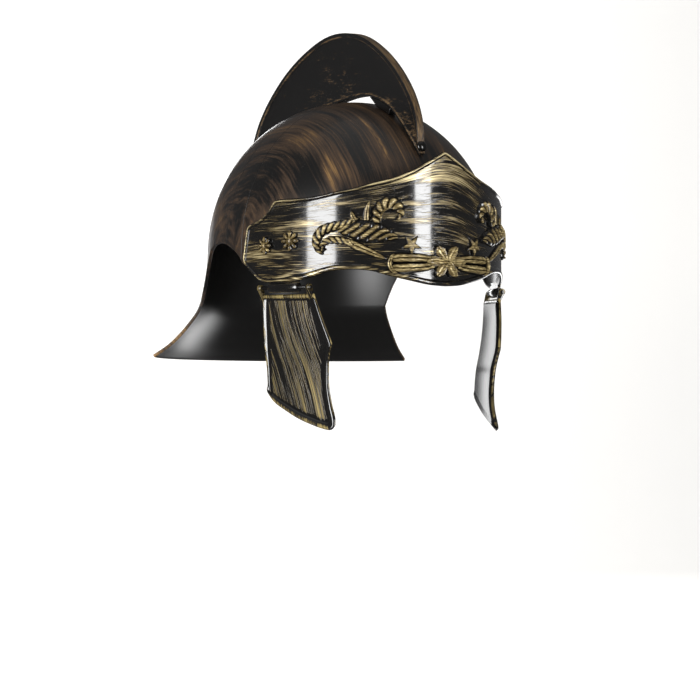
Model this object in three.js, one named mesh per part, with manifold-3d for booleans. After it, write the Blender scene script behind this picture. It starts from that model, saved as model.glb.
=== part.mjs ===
import * as THREE from 'three';
import { mergeVertices } from 'three/addons/utils/BufferGeometryUtils.js';
import Module from 'manifold-3d';

const wasm = await Module();
wasm.setup();

// Costume helmet of moulded plastic. Millimetres, +Z up. The face looks along -Y, the wearer's left is +X.
// Heights below are measured up from the level of the plate's lower edge. The whole helmet is then lowered,
// so that the origin is the inside of the crown.

const CLEARANCE = 0.3;
const SEARCH_STEPS = 30;

// Half axes of the bowl's outside in plan, at its widest level, and its heights
const BOWL = {
  front: 104.5, back: 111.7, side: 88.6, widest: 22, rise: 100, fullness: 0.03, wall: 2.2,
  hem: -8, hemSpread: 0.05, rows: 11,
};
const MM_PER_DEGREE = BOWL.rise * Math.PI / 180;

// Lower edge of the bowl from the front (0) to the neck guard's end: angle in plan, height
const BOWL_EDGE = [
  { angle: 0, height: 12.5 }, { angle: 12, height: 12.5 }, { angle: 24, height: 12.5 },
  { angle: 36, height: 12.5 }, { angle: 48, height: 12.5 }, { angle: 60, height: 12.5 },
  { angle: 72, height: 12.5 }, { angle: 84, height: 12.5 }, { angle: 88, height: 18.5 },
  { angle: 93, height: 24 }, { angle: 98, height: 27.2 }, { angle: 104, height: 28.2 },
  { angle: 110, height: 26.8 }, { angle: 116, height: 22.5 }, { angle: 121, height: 15 },
  { angle: 125, height: 5 }, { angle: 128.5, height: BOWL.hem },
];

// The neck guard flares out from the hem in a hollow curve: distance out and down from the hem
const NECK = [
  { out: 2.4, down: 6 }, { out: 6.8, down: 12.4 }, { out: 13, down: 20 }, { out: 21.5, down: 28.4 },
  { out: 31.7, down: 35.4 },
];
const NECK_COLUMNS = 8;

// Brow plate: an upright sheet on an ellipse in plan, outlined by distance from its middle line and height
const PLATE = {
  halfWidth: 91.5, halfDepth: 111.5, wall: 2, bead: 1.6, beadSlope: 0.8, beadRise: 0.9, step: 9,
  rows: [0.25, 0.5, 0.75],
};
const PLATE_OUTLINE = [
  { top: 0, topHeight: 83, bottom: 0, bottomHeight: -2.6 },
  { top: 13, topHeight: 75.6, bottom: 12, bottomHeight: -1.8 },
  { top: 24, topHeight: 69.8, bottom: 24, bottomHeight: 0.6 },
  { top: 34, topHeight: 65.7, bottom: 37, bottomHeight: 3.4 },
  { top: 50, topHeight: 61.7, bottom: 48, bottomHeight: 6.5 },
  { top: 61, topHeight: 58.8, bottom: 61, bottomHeight: 7.8 },
  { top: 70.5, topHeight: 57.2, bottom: 75, bottomHeight: 6.8 },
  { top: 90, topHeight: 53.6, bottom: 98, bottomHeight: 1.2 },
  { top: 117, topHeight: 52.8, bottom: 118.5, bottomHeight: 0.2 },
  { top: 122, topHeight: 45.7, bottom: 125, bottomHeight: 0.4 },
  { top: 129.4, topHeight: 40.9, bottom: 131, bottomHeight: 2 },
  { top: 136, topHeight: 38.6, bottom: 139.4, bottomHeight: 8.5 },
  { top: 141.8, topHeight: 37.5, bottom: 146.8, bottomHeight: 14 },
];

// Raised scroll leaves on half of the plate, from root over bend to tip: distance from the middle, height
const LEAVES = [
  { name: 'curled tip', root: [80.5, 17.5], bend: [91, 33], tip: [66, 34.5], width: 7.5, rise: 2.4 },
  { name: 'long frond', root: [72, 33.5], bend: [50, 38.5], tip: [33, 29], width: 9.5, rise: 2.6 },
  { name: 'lower frond', root: [80, 18], bend: [77, 27.5], tip: [60, 25], width: 6, rise: 2.2 },
  { name: 'tail', root: [66, 25.5], bend: [54, 21.5], tip: [38, 13.2], width: 4.2, rise: 1.6 },
  { name: 'rear barb', root: [57, 37], bend: [61, 41], tip: [62.4, 45.6], width: 4, rise: 1.9 },
  { name: 'front barb', root: [51.5, 38], bend: [53, 46], tip: [49.2, 51.2], width: 5, rise: 2.1 },
  { name: 'crook rise', root: [45.5, 36], bend: [46.5, 50.5], tip: [36, 50.3], width: 6.5, rise: 2.7 },
  { name: 'crook turn', root: [40, 50.4], bend: [28.5, 51], tip: [30.8, 40.2], width: 5.6, rise: 2.7 },
  { name: 'star up', root: [29.5, 25.5], bend: [29, 29], tip: [28.3, 33.6], width: 4.2, rise: 1.8 },
  { name: 'star in', root: [31, 25.5], bend: [25, 27.5], tip: [18.8, 27.4], width: 4.6, rise: 1.8 },
  { name: 'star down', root: [30.5, 27.5], bend: [26, 23], tip: [21.8, 17.8], width: 4.6, rise: 1.8 },
  { name: 'stem', root: [37.2, 10.6], bend: [24, 10.8], tip: [8, 11], width: 9, rise: 2.4 },
  { name: 'stem scroll', root: [31.5, 6.5], bend: [36.5, 8.5], tip: [34.4, 15.2], width: 3, rise: 3 },
];
const PETALS = { count: 6, reach: 12, squash: 0.78, height: 12.4, width: 5.6, rise: 3 };
const LEAF = { stations: 6, sink: 0.8, begin: 0.16, thinnest: 0.16, fullness: 0.6 };
// Across a leaf, in shares of its width, and up, in shares of its rise
const LEAF_SHOULDERS = [{ across: -0.42, up: 0.55 }, { across: 0, up: 1 }, { across: 0.42, up: 0.55 }];
const FIRST_PETAL = { turn: 30, root: -0.1, bend: 0.5, tip: 1 };

// Rivets with flower heads, two on each side of the plate
const RIVETS = [
  { name: 'front', along: 103.7, height: 26.3, radius: 5.2 },
  { name: 'rear', along: 124.3, height: 23.8, radius: 4.8 },
];
const ROSETTE = { petals: 8, notch: 0.84, seat: 0.45, shank: 1.3, tail: 3.4, sunk: 1 };
// Head of a rivet: share of its radius, height above its seat
const ROSETTE_HEAD = [
  { share: 0.94, rise: 0, petalled: true }, { share: 1, rise: 0.9, petalled: true },
  { share: 0.66, rise: 1.7, petalled: true }, { share: 0.3, rise: 2.6, petalled: false },
];
// Each rivet's hole reaches this far in and out from the plate's face
const RIVET_HOLE = { spare: 0.4, in: 9, out: 6, sides: 10 };
const SHANK_SIDES = 8;

// Crest, seen from the side about the middle of the bowl's widest level: outer radius and gap to the bowl
const CREST = {
  lip: 1.6, lipHalf: 3.1, rim: 2.6, slope: 0.9, bodyHalf: 2.4, narrowing: 0.5, fullDepth: 9, step: 4,
};
const CREST_OUTLINE = [
  { angle: 37, gap: 0.7, radius: 106.6, rimHalf: 2.4 },
  { angle: 40, gap: 0.7, radius: 109.4, rimHalf: 2.5 },
  { angle: 45, gap: 0.9, radius: 115.8, rimHalf: 2.8 },
  { angle: 53, gap: 2.6, radius: 123.2, rimHalf: 3.2 },
  { angle: 62, gap: 5.2, radius: 129.3, rimHalf: 3.7 },
  { angle: 74, gap: 5.6, radius: 137.2, rimHalf: 3.9 },
  { angle: 86, gap: 4.2, radius: 144.4, rimHalf: 3.9 },
  { angle: 98, gap: 2.4, radius: 147.6, rimHalf: 3.9 },
  { angle: 112, gap: 1.2, radius: 147.4, rimHalf: 3.9 },
  { angle: 128, gap: 1.2, radius: 147.8, rimHalf: 3.9 },
  { angle: 142, gap: 1.2, radius: 147.6, rimHalf: 3.9 },
  { angle: 154, gap: 1.2, radius: 142, rimHalf: 3.8 },
  { angle: 166, gap: 1.2, radius: 132.6, rimHalf: 3.5 },
  { angle: 178, gap: 1, radius: 121.6, rimHalf: 3 },
  { angle: 188, gap: 0.9, radius: 115.6, rimHalf: 2.6 },
];
const PEG = { from: 61, to: 70, step: 3, halfWidth: 2.9, gap: 0.35 };
const STUDS = [
  { name: 'front', angle: 40.5, tilt: 12, head: 3.5 },
  { name: 'rear', angle: 184, tilt: 201, head: 3.5 },
];
const STUD = { shank: 1.1, tail: 1.5, seat: 0.65, sides: 12, holeSides: 8, holeIn: 20, holeOut: 8 };
// Head of a stud: share of its radius, height above its seat
const STUD_HEAD = [
  { share: 1, rise: 0 }, { share: 0.98, rise: 0.9 }, { share: 0.72, rise: 2.24 }, { share: 0, rise: 2.8 },
];

// Cheek guard hinge: middle of the pin, turn of its axis in plan, and lengths along that axis
const HINGE = {
  along: 81, forward: 48.4, height: -3.3, turn: 21.5, barrel: 3.1, barrelHalf: 11.5, pin: 1.25,
  earInner: 17.4, earOuter: 21.2, ear: 3.3, earSides: 6, web: 2, webHeight: 6.8, sides: 12,
  pinEnd: 0.4, holeHalf: 30, holeSpare: 0.38,
};
// Lower corners of an ear: out from the guard's inner face, height from the pin
const EAR_FOOT = [{ out: -0.6, height: -7.6 }, { out: 1.6, height: -7.6 }];

// Cheek guard edges in its own plane: share of the edge, distance forward along the pin, height from the pin
const GUARD = {
  wall: 2, rim: 2.4, rimSlope: 1.2, rimRise: 1.3, crown: 1.6, crownStart: 1 / 6, inset: 3.2,
  top: -4.2, rear: -19.6, front: 22, width: 48, length: 74,
  columns: [0.27, 0.5, 0.75], rows: [0.2, 0.4, 0.54, 0.7, 0.85],
};
const GUARD_FRONT = [
  { share: 0, forward: GUARD.front, height: GUARD.top }, { share: 0.4, forward: 34.4, height: -36 },
  { share: 0.54, forward: 30.6, height: -48 }, { share: 0.7, forward: 29.5, height: -62 },
  { share: 0.85, forward: 31.5, height: -75 }, { share: 1, forward: 35.8, height: -88.2 },
];
const GUARD_BOTTOM = [
  { share: 0, forward: GUARD.rear, height: -62 }, { share: 0.05, forward: -18.7, height: -66.5 },
  { share: 0.1, forward: -16, height: -70 }, { share: 0.27, forward: -7.6, height: -74.8 },
  { share: 0.5, forward: 5.4, height: -81.2 }, { share: 0.75, forward: 19.4, height: -86.8 },
  { share: 0.93, forward: 30.6, height: -90.2 }, { share: 1, forward: 35.8, height: -88.2 },
];
// How far the guard bows in towards the cheek, by height from the pin
const GUARD_BOW = [
  { height: 0, bow: 0 }, { height: -20, bow: -0.9 }, { height: -38, bow: -2.9 }, { height: -51, bow: -5.2 },
  { height: -64, bow: -6.2 }, { height: -76, bow: -6.2 }, { height: -91, bow: -4.3 },
];

const blackPlastic = { color: 0x17140f, roughness: 0.32, metalness: 0 };
const finishes = {
  bowl: new THREE.MeshStandardMaterial({ ...blackPlastic, color: 0x2b241a }),
  plate: new THREE.MeshStandardMaterial({ ...blackPlastic, color: 0x6d5f3d, metalness: 0.3 }),
  crest: new THREE.MeshStandardMaterial({ ...blackPlastic, color: 0x2a2520 }),
  guard: new THREE.MeshStandardMaterial({ ...blackPlastic, color: 0x6a5c36, metalness: 0.3 }),
  rivet: new THREE.MeshStandardMaterial({ ...blackPlastic, color: 0x8a7746, metalness: 0.4 }),
  pin: new THREE.MeshStandardMaterial({ ...blackPlastic }),
};

const radians = THREE.MathUtils.degToRad;

function lookUp(rows, key, value, column) {
  const rising = rows[rows.length - 1][key] > rows[0][key];
  const after = rows.findIndex((row) => (rising ? row[key] >= value : row[key] <= value));
  if (after <= 0) return rows[after < 0 ? rows.length - 1 : 0][column];
  const [low, high] = [rows[after - 1], rows[after]];
  return THREE.MathUtils.mapLinear(value, low[key], high[key], low[column], high[column]);
}

// Same as lookUp, on a smooth curve through the rows
function smoothLookUp(rows, key, value, column) {
  const after = THREE.MathUtils.clamp(rows.findIndex((row) => row[key] >= value), 1, rows.length - 1);
  const [low, high] = [rows[after - 1], rows[after]];
  const slope = (a, b) => (b[column] - a[column]) / (b[key] - a[key]);
  const before = rows[after - 2] ?? low;
  const beyond = rows[after + 1] ?? high;
  const startSlope = slope(before, high);
  const endSlope = slope(low, beyond);
  const span = high[key] - low[key];
  const t = (value - low[key]) / span;
  const [t2, t3] = [t * t, t * t * t];
  return (2 * t3 - 3 * t2 + 1) * low[column] + (t3 - 2 * t2 + t) * span * startSlope
    + (3 * t2 - 2 * t3) * high[column] + (t3 - t2) * span * endSlope;
}

function meshFrom(points, triangles) {
  const geometry = new THREE.BufferGeometry();
  const numbers = points.flatMap((point) => point.toArray());
  geometry.setAttribute('position', new THREE.Float32BufferAttribute(numbers, 3));
  geometry.setIndex(triangles.flat());
  return geometry;
}

function volumeOf(geometry) {
  const position = geometry.getAttribute('position');
  const corner = (i) => new THREE.Vector3().fromBufferAttribute(position, geometry.index.getX(i));
  let volume = 0;
  for (let i = 0; i < geometry.index.count; i += 3) {
    volume += corner(i).dot(corner(i + 1).cross(corner(i + 2))) / 6;
  }
  return volume;
}

// Merges shared corners and turns the faces outwards
function closed(geometry) {
  geometry.deleteAttribute('normal');
  geometry.deleteAttribute('uv');
  const merged = mergeVertices(geometry, 1e-4);
  if (volumeOf(merged) < 0) {
    merged.index.array.reverse();
  }
  return merged;
}

function toSolid(geometry) {
  const mesh = closed(geometry);
  return new wasm.Manifold(new wasm.Mesh({
    numProp: 3,
    vertProperties: new Float32Array(mesh.getAttribute('position').array),
    triVerts: new Uint32Array(mesh.index.array),
  }));
}

function toGeometry(solid) {
  const mesh = solid.getMesh();
  const geometry = new THREE.BufferGeometry();
  geometry.setAttribute('position', new THREE.BufferAttribute(new Float32Array(mesh.vertProperties), 3));
  geometry.setIndex(new THREE.BufferAttribute(new Uint32Array(mesh.triVerts), 1));
  return geometry;
}

// Gives a sheet of outside points a wall: faces are corner lists, raise lifts points off the sheet
function thicken(points, faces, wall, raise = () => 0) {
  const triangles = faces.flatMap(([a, b, c, d]) => (
    d === undefined ? [[a, b, c]] : [[a, b, c], [a, c, d]]));
  const sheet = meshFrom(points, triangles);
  sheet.computeVertexNormals();
  const normals = sheet.getAttribute('normal');
  const offset = (i, distance) => points[i].clone().addScaledVector(
    new THREE.Vector3().fromBufferAttribute(normals, i), distance);
  const count = points.length;
  const corners = [
    ...points.map((_, i) => offset(i, raise(i))),
    ...points.map((_, i) => offset(i, -wall)),
  ];
  const inside = triangles.map(([a, b, c]) => [a + count, c + count, b + count]);
  const edges = new Map();
  for (const [a, b, c] of triangles) {
    for (const [from, to] of [[a, b], [b, c], [c, a]]) edges.set(`${from}_${to}`, [from, to]);
  }
  const rims = [];
  for (const [from, to] of edges.values()) {
    if (!edges.has(`${to}_${from}`)) rims.push([to, from, from + count], [to, from + count, to + count]);
  }
  return closed(meshFrom(corners, [...triangles, ...inside, ...rims]));
}

// Joins rings of points with equal counts and caps both ends, whose outline is given as pairs
function loft(rings, pairs) {
  const outline = pairs.map(([x, y]) => new THREE.Vector2(x, y));
  const count = rings[0].length;
  const triangles = [];
  for (let ring = 0; ring < rings.length - 1; ring++) {
    for (let i = 0; i < count; i++) {
      const next = (i + 1) % count;
      const [a, b] = [ring * count + i, ring * count + next];
      triangles.push([a, b, b + count], [a, b + count, a + count]);
    }
  }
  const cap = THREE.ShapeUtils.triangulateShape(outline, []);
  const last = (rings.length - 1) * count;
  const capFlip = THREE.ShapeUtils.isClockWise(outline);
  for (const [a, b, c] of cap) {
    const [p, q] = capFlip ? [c, b] : [b, c];
    triangles.push([a, q, p], [a + last, p + last, q + last]);
  }
  return closed(meshFrom(rings.flat(), triangles));
}

// Shares along a length with a flat rim and a slope at both ends, and with inner shares between them
function rimmedShares(rim, slope, length, inner) {
  const [edge, foot] = [rim / length, (rim + slope) / length];
  return [0, edge, foot, ...inner, 1 - foot, 1 - edge, 1];
}

function onRim(index, count) {
  return index < 2 || index > count - 3;
}

// Skull bowl with ear arches and neck guard

function bowlSpot(angle, depth) {
  const roundness = 1 - BOWL.fullness * (1 - Math.cos(radians(angle)));
  const share = depth <= 90
    ? Math.sin(radians(depth)) ** roundness
    : 1 + BOWL.hemSpread * ((depth - 90) * MM_PER_DEGREE / (BOWL.widest - BOWL.hem)) ** 1.5;
  const height = depth <= 90
    ? BOWL.widest + BOWL.rise * Math.cos(radians(depth))
    : BOWL.widest - (depth - 90) * MM_PER_DEGREE;
  const reach = Math.abs(angle) < 90 ? BOWL.front : BOWL.back;
  return new THREE.Vector3(
    BOWL.side * share * Math.sin(radians(angle)), -reach * share * Math.cos(radians(angle)), height);
}

function bowlDepth(height) {
  const above = height - BOWL.widest;
  if (above < 0) return 90 - above / MM_PER_DEGREE;
  return 90 - THREE.MathUtils.radToDeg(Math.asin(above / BOWL.rise));
}

function planNormal(angle) {
  const reach = Math.abs(angle) < 90 ? BOWL.front : BOWL.back;
  const [across, ahead] = [Math.sin(radians(angle)) / BOWL.side, Math.cos(radians(angle)) / reach];
  return new THREE.Vector3(across, -ahead, 0).normalize();
}

function bowlAngles() {
  const edge = BOWL_EDGE.map((row) => row.angle);
  const end = edge[edge.length - 1];
  const nape = Array.from({ length: NECK_COLUMNS }, (_, i) => end + (180 - end) * (i + 1) / NECK_COLUMNS);
  const half = [...edge, ...nape];
  return [...half.slice(1, -1).reverse().map((angle) => -angle), ...half];
}

function makeBowl() {
  const angles = bowlAngles();
  const end = BOWL_EDGE[BOWL_EDGE.length - 1].angle;
  const points = [bowlSpot(0, 0)];
  const domeRows = BOWL.rows;
  const at = (column, row) => 1 + (column % angles.length) * (domeRows + NECK.length) + row - 1;
  for (const angle of angles) {
    const edge = bowlDepth(lookUp(BOWL_EDGE, 'angle', Math.abs(angle), 'height'));
    for (let row = 1; row <= domeRows; row++) points.push(bowlSpot(angle, edge * row / domeRows));
    const hem = bowlSpot(angle, bowlDepth(BOWL.hem));
    for (const { out, down } of NECK) {
      const spot = hem.clone().addScaledVector(planNormal(angle), out);
      spot.z -= down;
      points.push(spot);
    }
  }
  const faces = [];
  for (let column = 0; column < angles.length; column++) {
    faces.push([0, at(column, 1), at(column + 1, 1)]);
    const next = angles[(column + 1) % angles.length];
    const overNape = Math.min(Math.abs(angles[column]), Math.abs(next)) >= end;
    const rows = overNape ? domeRows + NECK.length : domeRows;
    for (let row = 1; row < rows; row++) {
      faces.push([at(column, row), at(column, row + 1), at(column + 1, row + 1), at(column + 1, row)]);
    }
  }
  return thicken(...withoutSpares(points, faces), BOWL.wall);
}

// Leaves out the points that no face uses
function withoutSpares(points, faces) {
  const used = [...new Set(faces.flat())].sort((a, b) => a - b);
  const place = new Map(used.map((index, i) => [index, i]));
  return [used.map((index) => points[index]), faces.map((face) => face.map((index) => place.get(index)))];
}

// Brow plate

const plateCurve = new THREE.EllipseCurve(
  0, 0, PLATE.halfWidth, PLATE.halfDepth, -Math.PI / 2, Math.PI / 2);
const plateLength = plateCurve.getLength();

// Distance along the plate from its middle, height, and distance out of its face
function plateSpot(along, height, out = 0) {
  const share = Math.abs(along) / plateLength;
  const spot = plateCurve.getPointAt(share);
  const tangent = plateCurve.getTangentAt(share);
  const side = Math.sign(along) || 1;
  return new THREE.Vector3(side * (spot.x + tangent.y * out), spot.y - tangent.x * out, height);
}

function plateStations() {
  const stations = [PLATE_OUTLINE[0]];
  const blend = (a, b, t) => Object.fromEntries(
    Object.keys(a).map((key) => [key, a[key] + (b[key] - a[key]) * t]));
  for (let i = 1; i < PLATE_OUTLINE.length; i++) {
    const [from, to] = [PLATE_OUTLINE[i - 1], PLATE_OUTLINE[i]];
    const parts = Math.max(1, Math.round((to.bottom - from.bottom) / PLATE.step));
    for (let part = 1; part <= parts; part++) stations.push(blend(from, to, part / parts));
  }
  const last = stations.pop();
  const before = stations[stations.length - 1];
  const width = last.bottom - before.bottom;
  stations.push(blend(before, last, 1 - (PLATE.bead + PLATE.beadSlope) / width));
  stations.push(blend(before, last, 1 - PLATE.bead / width), last);
  return stations;
}

function makePlateSheet() {
  const half = plateStations();
  const stations = [
    ...half.slice(1).reverse().map((row) => ({ ...row, top: -row.top, bottom: -row.bottom })), ...half];
  const points = [];
  const raised = [];
  let rows = 0;
  stations.forEach((station, column) => {
    const span = station.topHeight - station.bottomHeight;
    const shares = rimmedShares(PLATE.bead, PLATE.beadSlope, span, PLATE.rows);
    rows = shares.length;
    shares.forEach((share, row) => {
      const along = THREE.MathUtils.lerp(station.bottom, station.top, share);
      points.push(plateSpot(along, station.bottomHeight + span * share));
      raised.push(onRim(row, rows) || onRim(column, stations.length) ? PLATE.beadRise : 0);
    });
  });
  const faces = [];
  for (let column = 0; column < stations.length - 1; column++) {
    for (let row = 0; row < rows - 1; row++) {
      const a = column * rows + row;
      faces.push([a, a + rows, a + rows + 1, a + 1]);
    }
  }
  return toSolid(thicken(points, faces, PLATE.wall, (i) => raised[i]));
}

// A raised leaf that swells from its root and runs out to a point, laid on the plate
function makeLeaf({ root, bend, tip, width, rise }) {
  const spine = new THREE.QuadraticBezierCurve(
    new THREE.Vector2(...root), new THREE.Vector2(...bend), new THREE.Vector2(...tip));
  const shoulders = LEAF_SHOULDERS.map(({ across, up }) => [across, up]);
  const section = [[-0.5, -LEAF.sink], ...shoulders, [0.5, -LEAF.sink]];
  const rings = [];
  for (let i = 0; i < LEAF.stations; i++) {
    const t = i / (LEAF.stations - 1);
    const swelling = Math.sin(Math.PI * (LEAF.begin + (1 - LEAF.begin) * t)) ** LEAF.fullness;
    const swell = Math.max(LEAF.thinnest, swelling);
    const centre = spine.getPoint(t);
    const tangent = spine.getTangent(t);
    rings.push(section.map(([across, up]) => {
      const lift = up < 0 ? up : up * rise * swell;
      const reach = across * width * swell;
      return plateSpot(centre.x - tangent.y * reach, centre.y + tangent.x * reach, lift);
    }));
  }
  return toSolid(loft(rings, section));
}

function makeOrnament() {
  const leaves = [];
  for (const side of [1, -1]) {
    for (const leaf of LEAVES) {
      const turned = ([along, height]) => [side * along, height];
      const [root, bend, tip] = [leaf.root, leaf.bend, leaf.tip].map(turned);
      leaves.push(makeLeaf({ ...leaf, root, bend, tip }));
    }
  }
  for (let i = 0; i < PETALS.count; i++) {
    const turn = radians(FIRST_PETAL.turn + 360 * i / PETALS.count);
    const [along, up] = [PETALS.reach * Math.cos(turn), PETALS.reach * PETALS.squash * Math.sin(turn)];
    const end = (share) => [along * share, PETALS.height + up * share];
    const { root, bend, tip } = FIRST_PETAL;
    leaves.push(makeLeaf({
      root: end(root), bend: end(bend), tip: end(tip), width: PETALS.width, rise: PETALS.rise }));
  }
  return leaves;
}

// Frame of one side's hinge: forward along the pin, outwards, up
function hingeFrame(side) {
  const turn = radians(HINGE.turn);
  const forward = new THREE.Vector3(-side * Math.sin(turn), -Math.cos(turn), 0);
  const outwards = new THREE.Vector3(side * Math.cos(turn), -Math.sin(turn), 0);
  const middle = new THREE.Vector3(side * HINGE.along, -HINGE.forward, HINGE.height);
  return { forward, outwards, middle };
}

function hingeSpot(side, along, out, up) {
  const { forward, outwards, middle } = hingeFrame(side);
  const spot = middle.clone().addScaledVector(forward, along).addScaledVector(outwards, out);
  spot.z += up;
  return spot;
}

// A bar along the pin whose section is given as outwards and up pairs
function hingeBar(side, from, to, section) {
  const rings = [from, to].map((along) => section.map(([out, up]) => hingeSpot(side, along, out, up)));
  return loft(rings, section);
}

// Corners of a round section, the first one turned by a share of a side
function circle(radius, sides, first = 0.5) {
  return Array.from({ length: sides }, (_, i) => {
    const angle = 2 * Math.PI * (i + first) / sides;
    return [radius * Math.cos(angle), radius * Math.sin(angle)];
  });
}

function pinHole(side) {
  const section = circle(HINGE.pin + HINGE.holeSpare, HINGE.sides);
  return toSolid(hingeBar(side, -HINGE.holeHalf, HINGE.holeHalf, section));
}

function makeBarrel(side) {
  const half = HINGE.web / 2;
  const web = [[-half, 0], [half, 0], [half, HINGE.webHeight], [-half, HINGE.webHeight]];
  const [barrel, flange] = [circle(HINGE.barrel, HINGE.sides), web].map((section) => (
    toSolid(hingeBar(side, -HINGE.barrelHalf, HINGE.barrelHalf, section))));
  return barrel.add(flange);
}

// Corners around a rivet's axis: distance out from the plate's face, then across and up from the axis
function rivetRing(side, rivet, distance, section) {
  const base = plateSpot(side * rivet.along, rivet.height);
  const out = plateSpot(side * rivet.along, rivet.height, 1).sub(base);
  const across = new THREE.Vector3(-out.y, out.x, 0);
  return section.map(([x, z]) => {
    const spot = base.clone().addScaledVector(out, distance).addScaledVector(across, x);
    spot.z += z;
    return spot;
  });
}

// A bar through the plate and the bowl at a rivet
function rivetBar(side, rivet, radius, from, to, sides) {
  const section = circle(radius, sides);
  return toSolid(loft([from, to].map((distance) => rivetRing(side, rivet, distance, section)), section));
}

function rivetHoles() {
  const { spare, in: inside, out, sides } = RIVET_HOLE;
  return [1, -1].flatMap((side) => RIVETS.map((rivet) => (
    rivetBar(side, rivet, ROSETTE.shank + spare, -inside, out, sides))));
}

function makePlate() {
  let plate = makePlateSheet();
  for (const leaf of makeOrnament()) plate = plate.add(leaf);
  for (const side of [1, -1]) plate = plate.add(makeBarrel(side)).subtract(pinHole(side));
  for (const hole of rivetHoles()) plate = plate.subtract(hole);
  return toGeometry(plate);
}

// Rivet with a petalled head outside the plate and a shank through plate and bowl

function makeRosette(side, rivet) {
  const outline = circle(1, ROSETTE.petals * 2, 0);
  const rings = ROSETTE_HEAD.map(({ share, rise, petalled }) => {
    const section = outline.map(([x, z], i) => {
      const radius = rivet.radius * share * (petalled && i % 2 ? ROSETTE.notch : 1);
      return [radius * x, radius * z];
    });
    return rivetRing(side, rivet, ROSETTE.seat + rise, section);
  });
  const [tail, top] = [-PLATE.wall - ROSETTE.tail, ROSETTE.seat + ROSETTE.sunk];
  const shank = rivetBar(side, rivet, ROSETTE.shank, tail, top, SHANK_SIDES);
  return toGeometry(toSolid(loft(rings, outline)).add(shank));
}

// Crest

// Outside of the bowl in its middle plane, as a radius about the middle of its widest level
function bowlRadius(angle) {
  const plan = angle < 90 ? 0 : 180;
  const span = { shallow: 0, deep: bowlDepth(BOWL.hem) };
  for (let step = 0; step < SEARCH_STEPS; step++) {
    const depth = (span.shallow + span.deep) / 2;
    const spot = bowlSpot(plan, depth);
    const tilt = THREE.MathUtils.radToDeg(Math.atan2(Math.abs(spot.y), spot.z - BOWL.widest));
    span[tilt < Math.abs(angle - 90) ? 'shallow' : 'deep'] = depth;
  }
  const spot = bowlSpot(plan, span.deep);
  return Math.hypot(spot.y, spot.z - BOWL.widest);
}

function sideSpot(angle, radius, across) {
  return new THREE.Vector3(
    across, -radius * Math.cos(radians(angle)), BOWL.widest + radius * Math.sin(radians(angle)));
}

function crestInside(angle) {
  return bowlRadius(angle) + smoothLookUp(CREST_OUTLINE, 'angle', angle, 'gap');
}

function crestSection(angle) {
  const inner = crestInside(angle);
  const outer = smoothLookUp(CREST_OUTLINE, 'angle', angle, 'radius');
  const rimHalf = lookUp(CREST_OUTLINE, 'angle', angle, 'rimHalf');
  const depth = outer - inner;
  const shrink = Math.min(1, depth / CREST.fullDepth);
  const lipHalf = Math.min(CREST.lipHalf, rimHalf);
  const bodyHalf = Math.min(CREST.bodyHalf, rimHalf - CREST.narrowing);
  const half = [
    [inner, lipHalf], [inner + CREST.lip * shrink, lipHalf],
    [inner + (CREST.lip + CREST.slope) * shrink, bodyHalf],
    [outer - (CREST.rim + CREST.slope) * shrink, bodyHalf],
    [outer - CREST.rim * shrink, rimHalf], [outer, rimHalf]];
  return [...half, ...half.map(([radius, across]) => [radius, -across]).reverse()];
}

function makeCrest() {
  const first = CREST_OUTLINE[0].angle;
  const last = CREST_OUTLINE[CREST_OUTLINE.length - 1].angle;
  const count = Math.round((last - first) / CREST.step);
  const rings = [];
  for (let i = 0; i <= count; i++) {
    const angle = first + (last - first) * i / count;
    rings.push(crestSection(angle).map(([radius, across]) => sideSpot(angle, radius, across)));
  }
  let crest = toSolid(loft(rings, crestSection(first)));
  for (const stud of STUDS) crest = crest.subtract(studHole(stud));
  return toGeometry(crest);
}

function makePeg() {
  const corners = [['inner', -1], ['outer', -1], ['outer', 1], ['inner', 1]];
  const rings = [];
  for (let angle = PEG.from; angle <= PEG.to; angle += PEG.step) {
    const ends = { inner: bowlRadius(angle) + PEG.gap, outer: crestInside(angle) - PEG.gap };
    rings.push(corners.map(([end, side]) => sideSpot(angle, ends[end], side * PEG.halfWidth)));
  }
  return loft(rings, [[0, 0], [1, 0], [1, 1], [0, 1]]);
}

// Turned shape along a stud's axis: distance from the crest's rim and radius
function studShape(stud, profile, sides) {
  const corners = profile.map(([radius, along]) => new THREE.Vector2(radius, along));
  const lathe = new THREE.LatheGeometry(corners, sides);
  const axis = new THREE.Vector3(0, -Math.cos(radians(stud.tilt)), Math.sin(radians(stud.tilt)));
  lathe.applyQuaternion(new THREE.Quaternion().setFromUnitVectors(new THREE.Vector3(0, 1, 0), axis));
  const rim = smoothLookUp(CREST_OUTLINE, 'angle', stud.angle, 'radius');
  const seat = sideSpot(stud.angle, rim, 0);
  lathe.translate(seat.x, seat.y, seat.z);
  return lathe;
}

function studHole(stud) {
  const radius = STUD.shank + CLEARANCE;
  const [low, high] = [-STUD.holeIn, STUD.holeOut];
  return toSolid(studShape(stud, [[0, low], [radius, low], [radius, high], [0, high]], STUD.holeSides));
}

function studTail(stud) {
  const rim = smoothLookUp(CREST_OUTLINE, 'angle', stud.angle, 'radius');
  return rim - bowlRadius(stud.angle) + BOWL.wall + STUD.tail;
}

function makeStud(stud) {
  const tail = -studTail(stud);
  const head = STUD_HEAD.map(({ share, rise }) => [stud.head * share, STUD.seat + rise]);
  const profile = [[0, tail], [STUD.shank, tail], [STUD.shank, STUD.seat], ...head];
  return closed(studShape(stud, profile, STUD.sides));
}

// Cheek guard

function edgeSpot(rows, share) {
  return new THREE.Vector2(lookUp(rows, 'share', share, 'forward'), lookUp(rows, 'share', share, 'height'));
}

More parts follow.
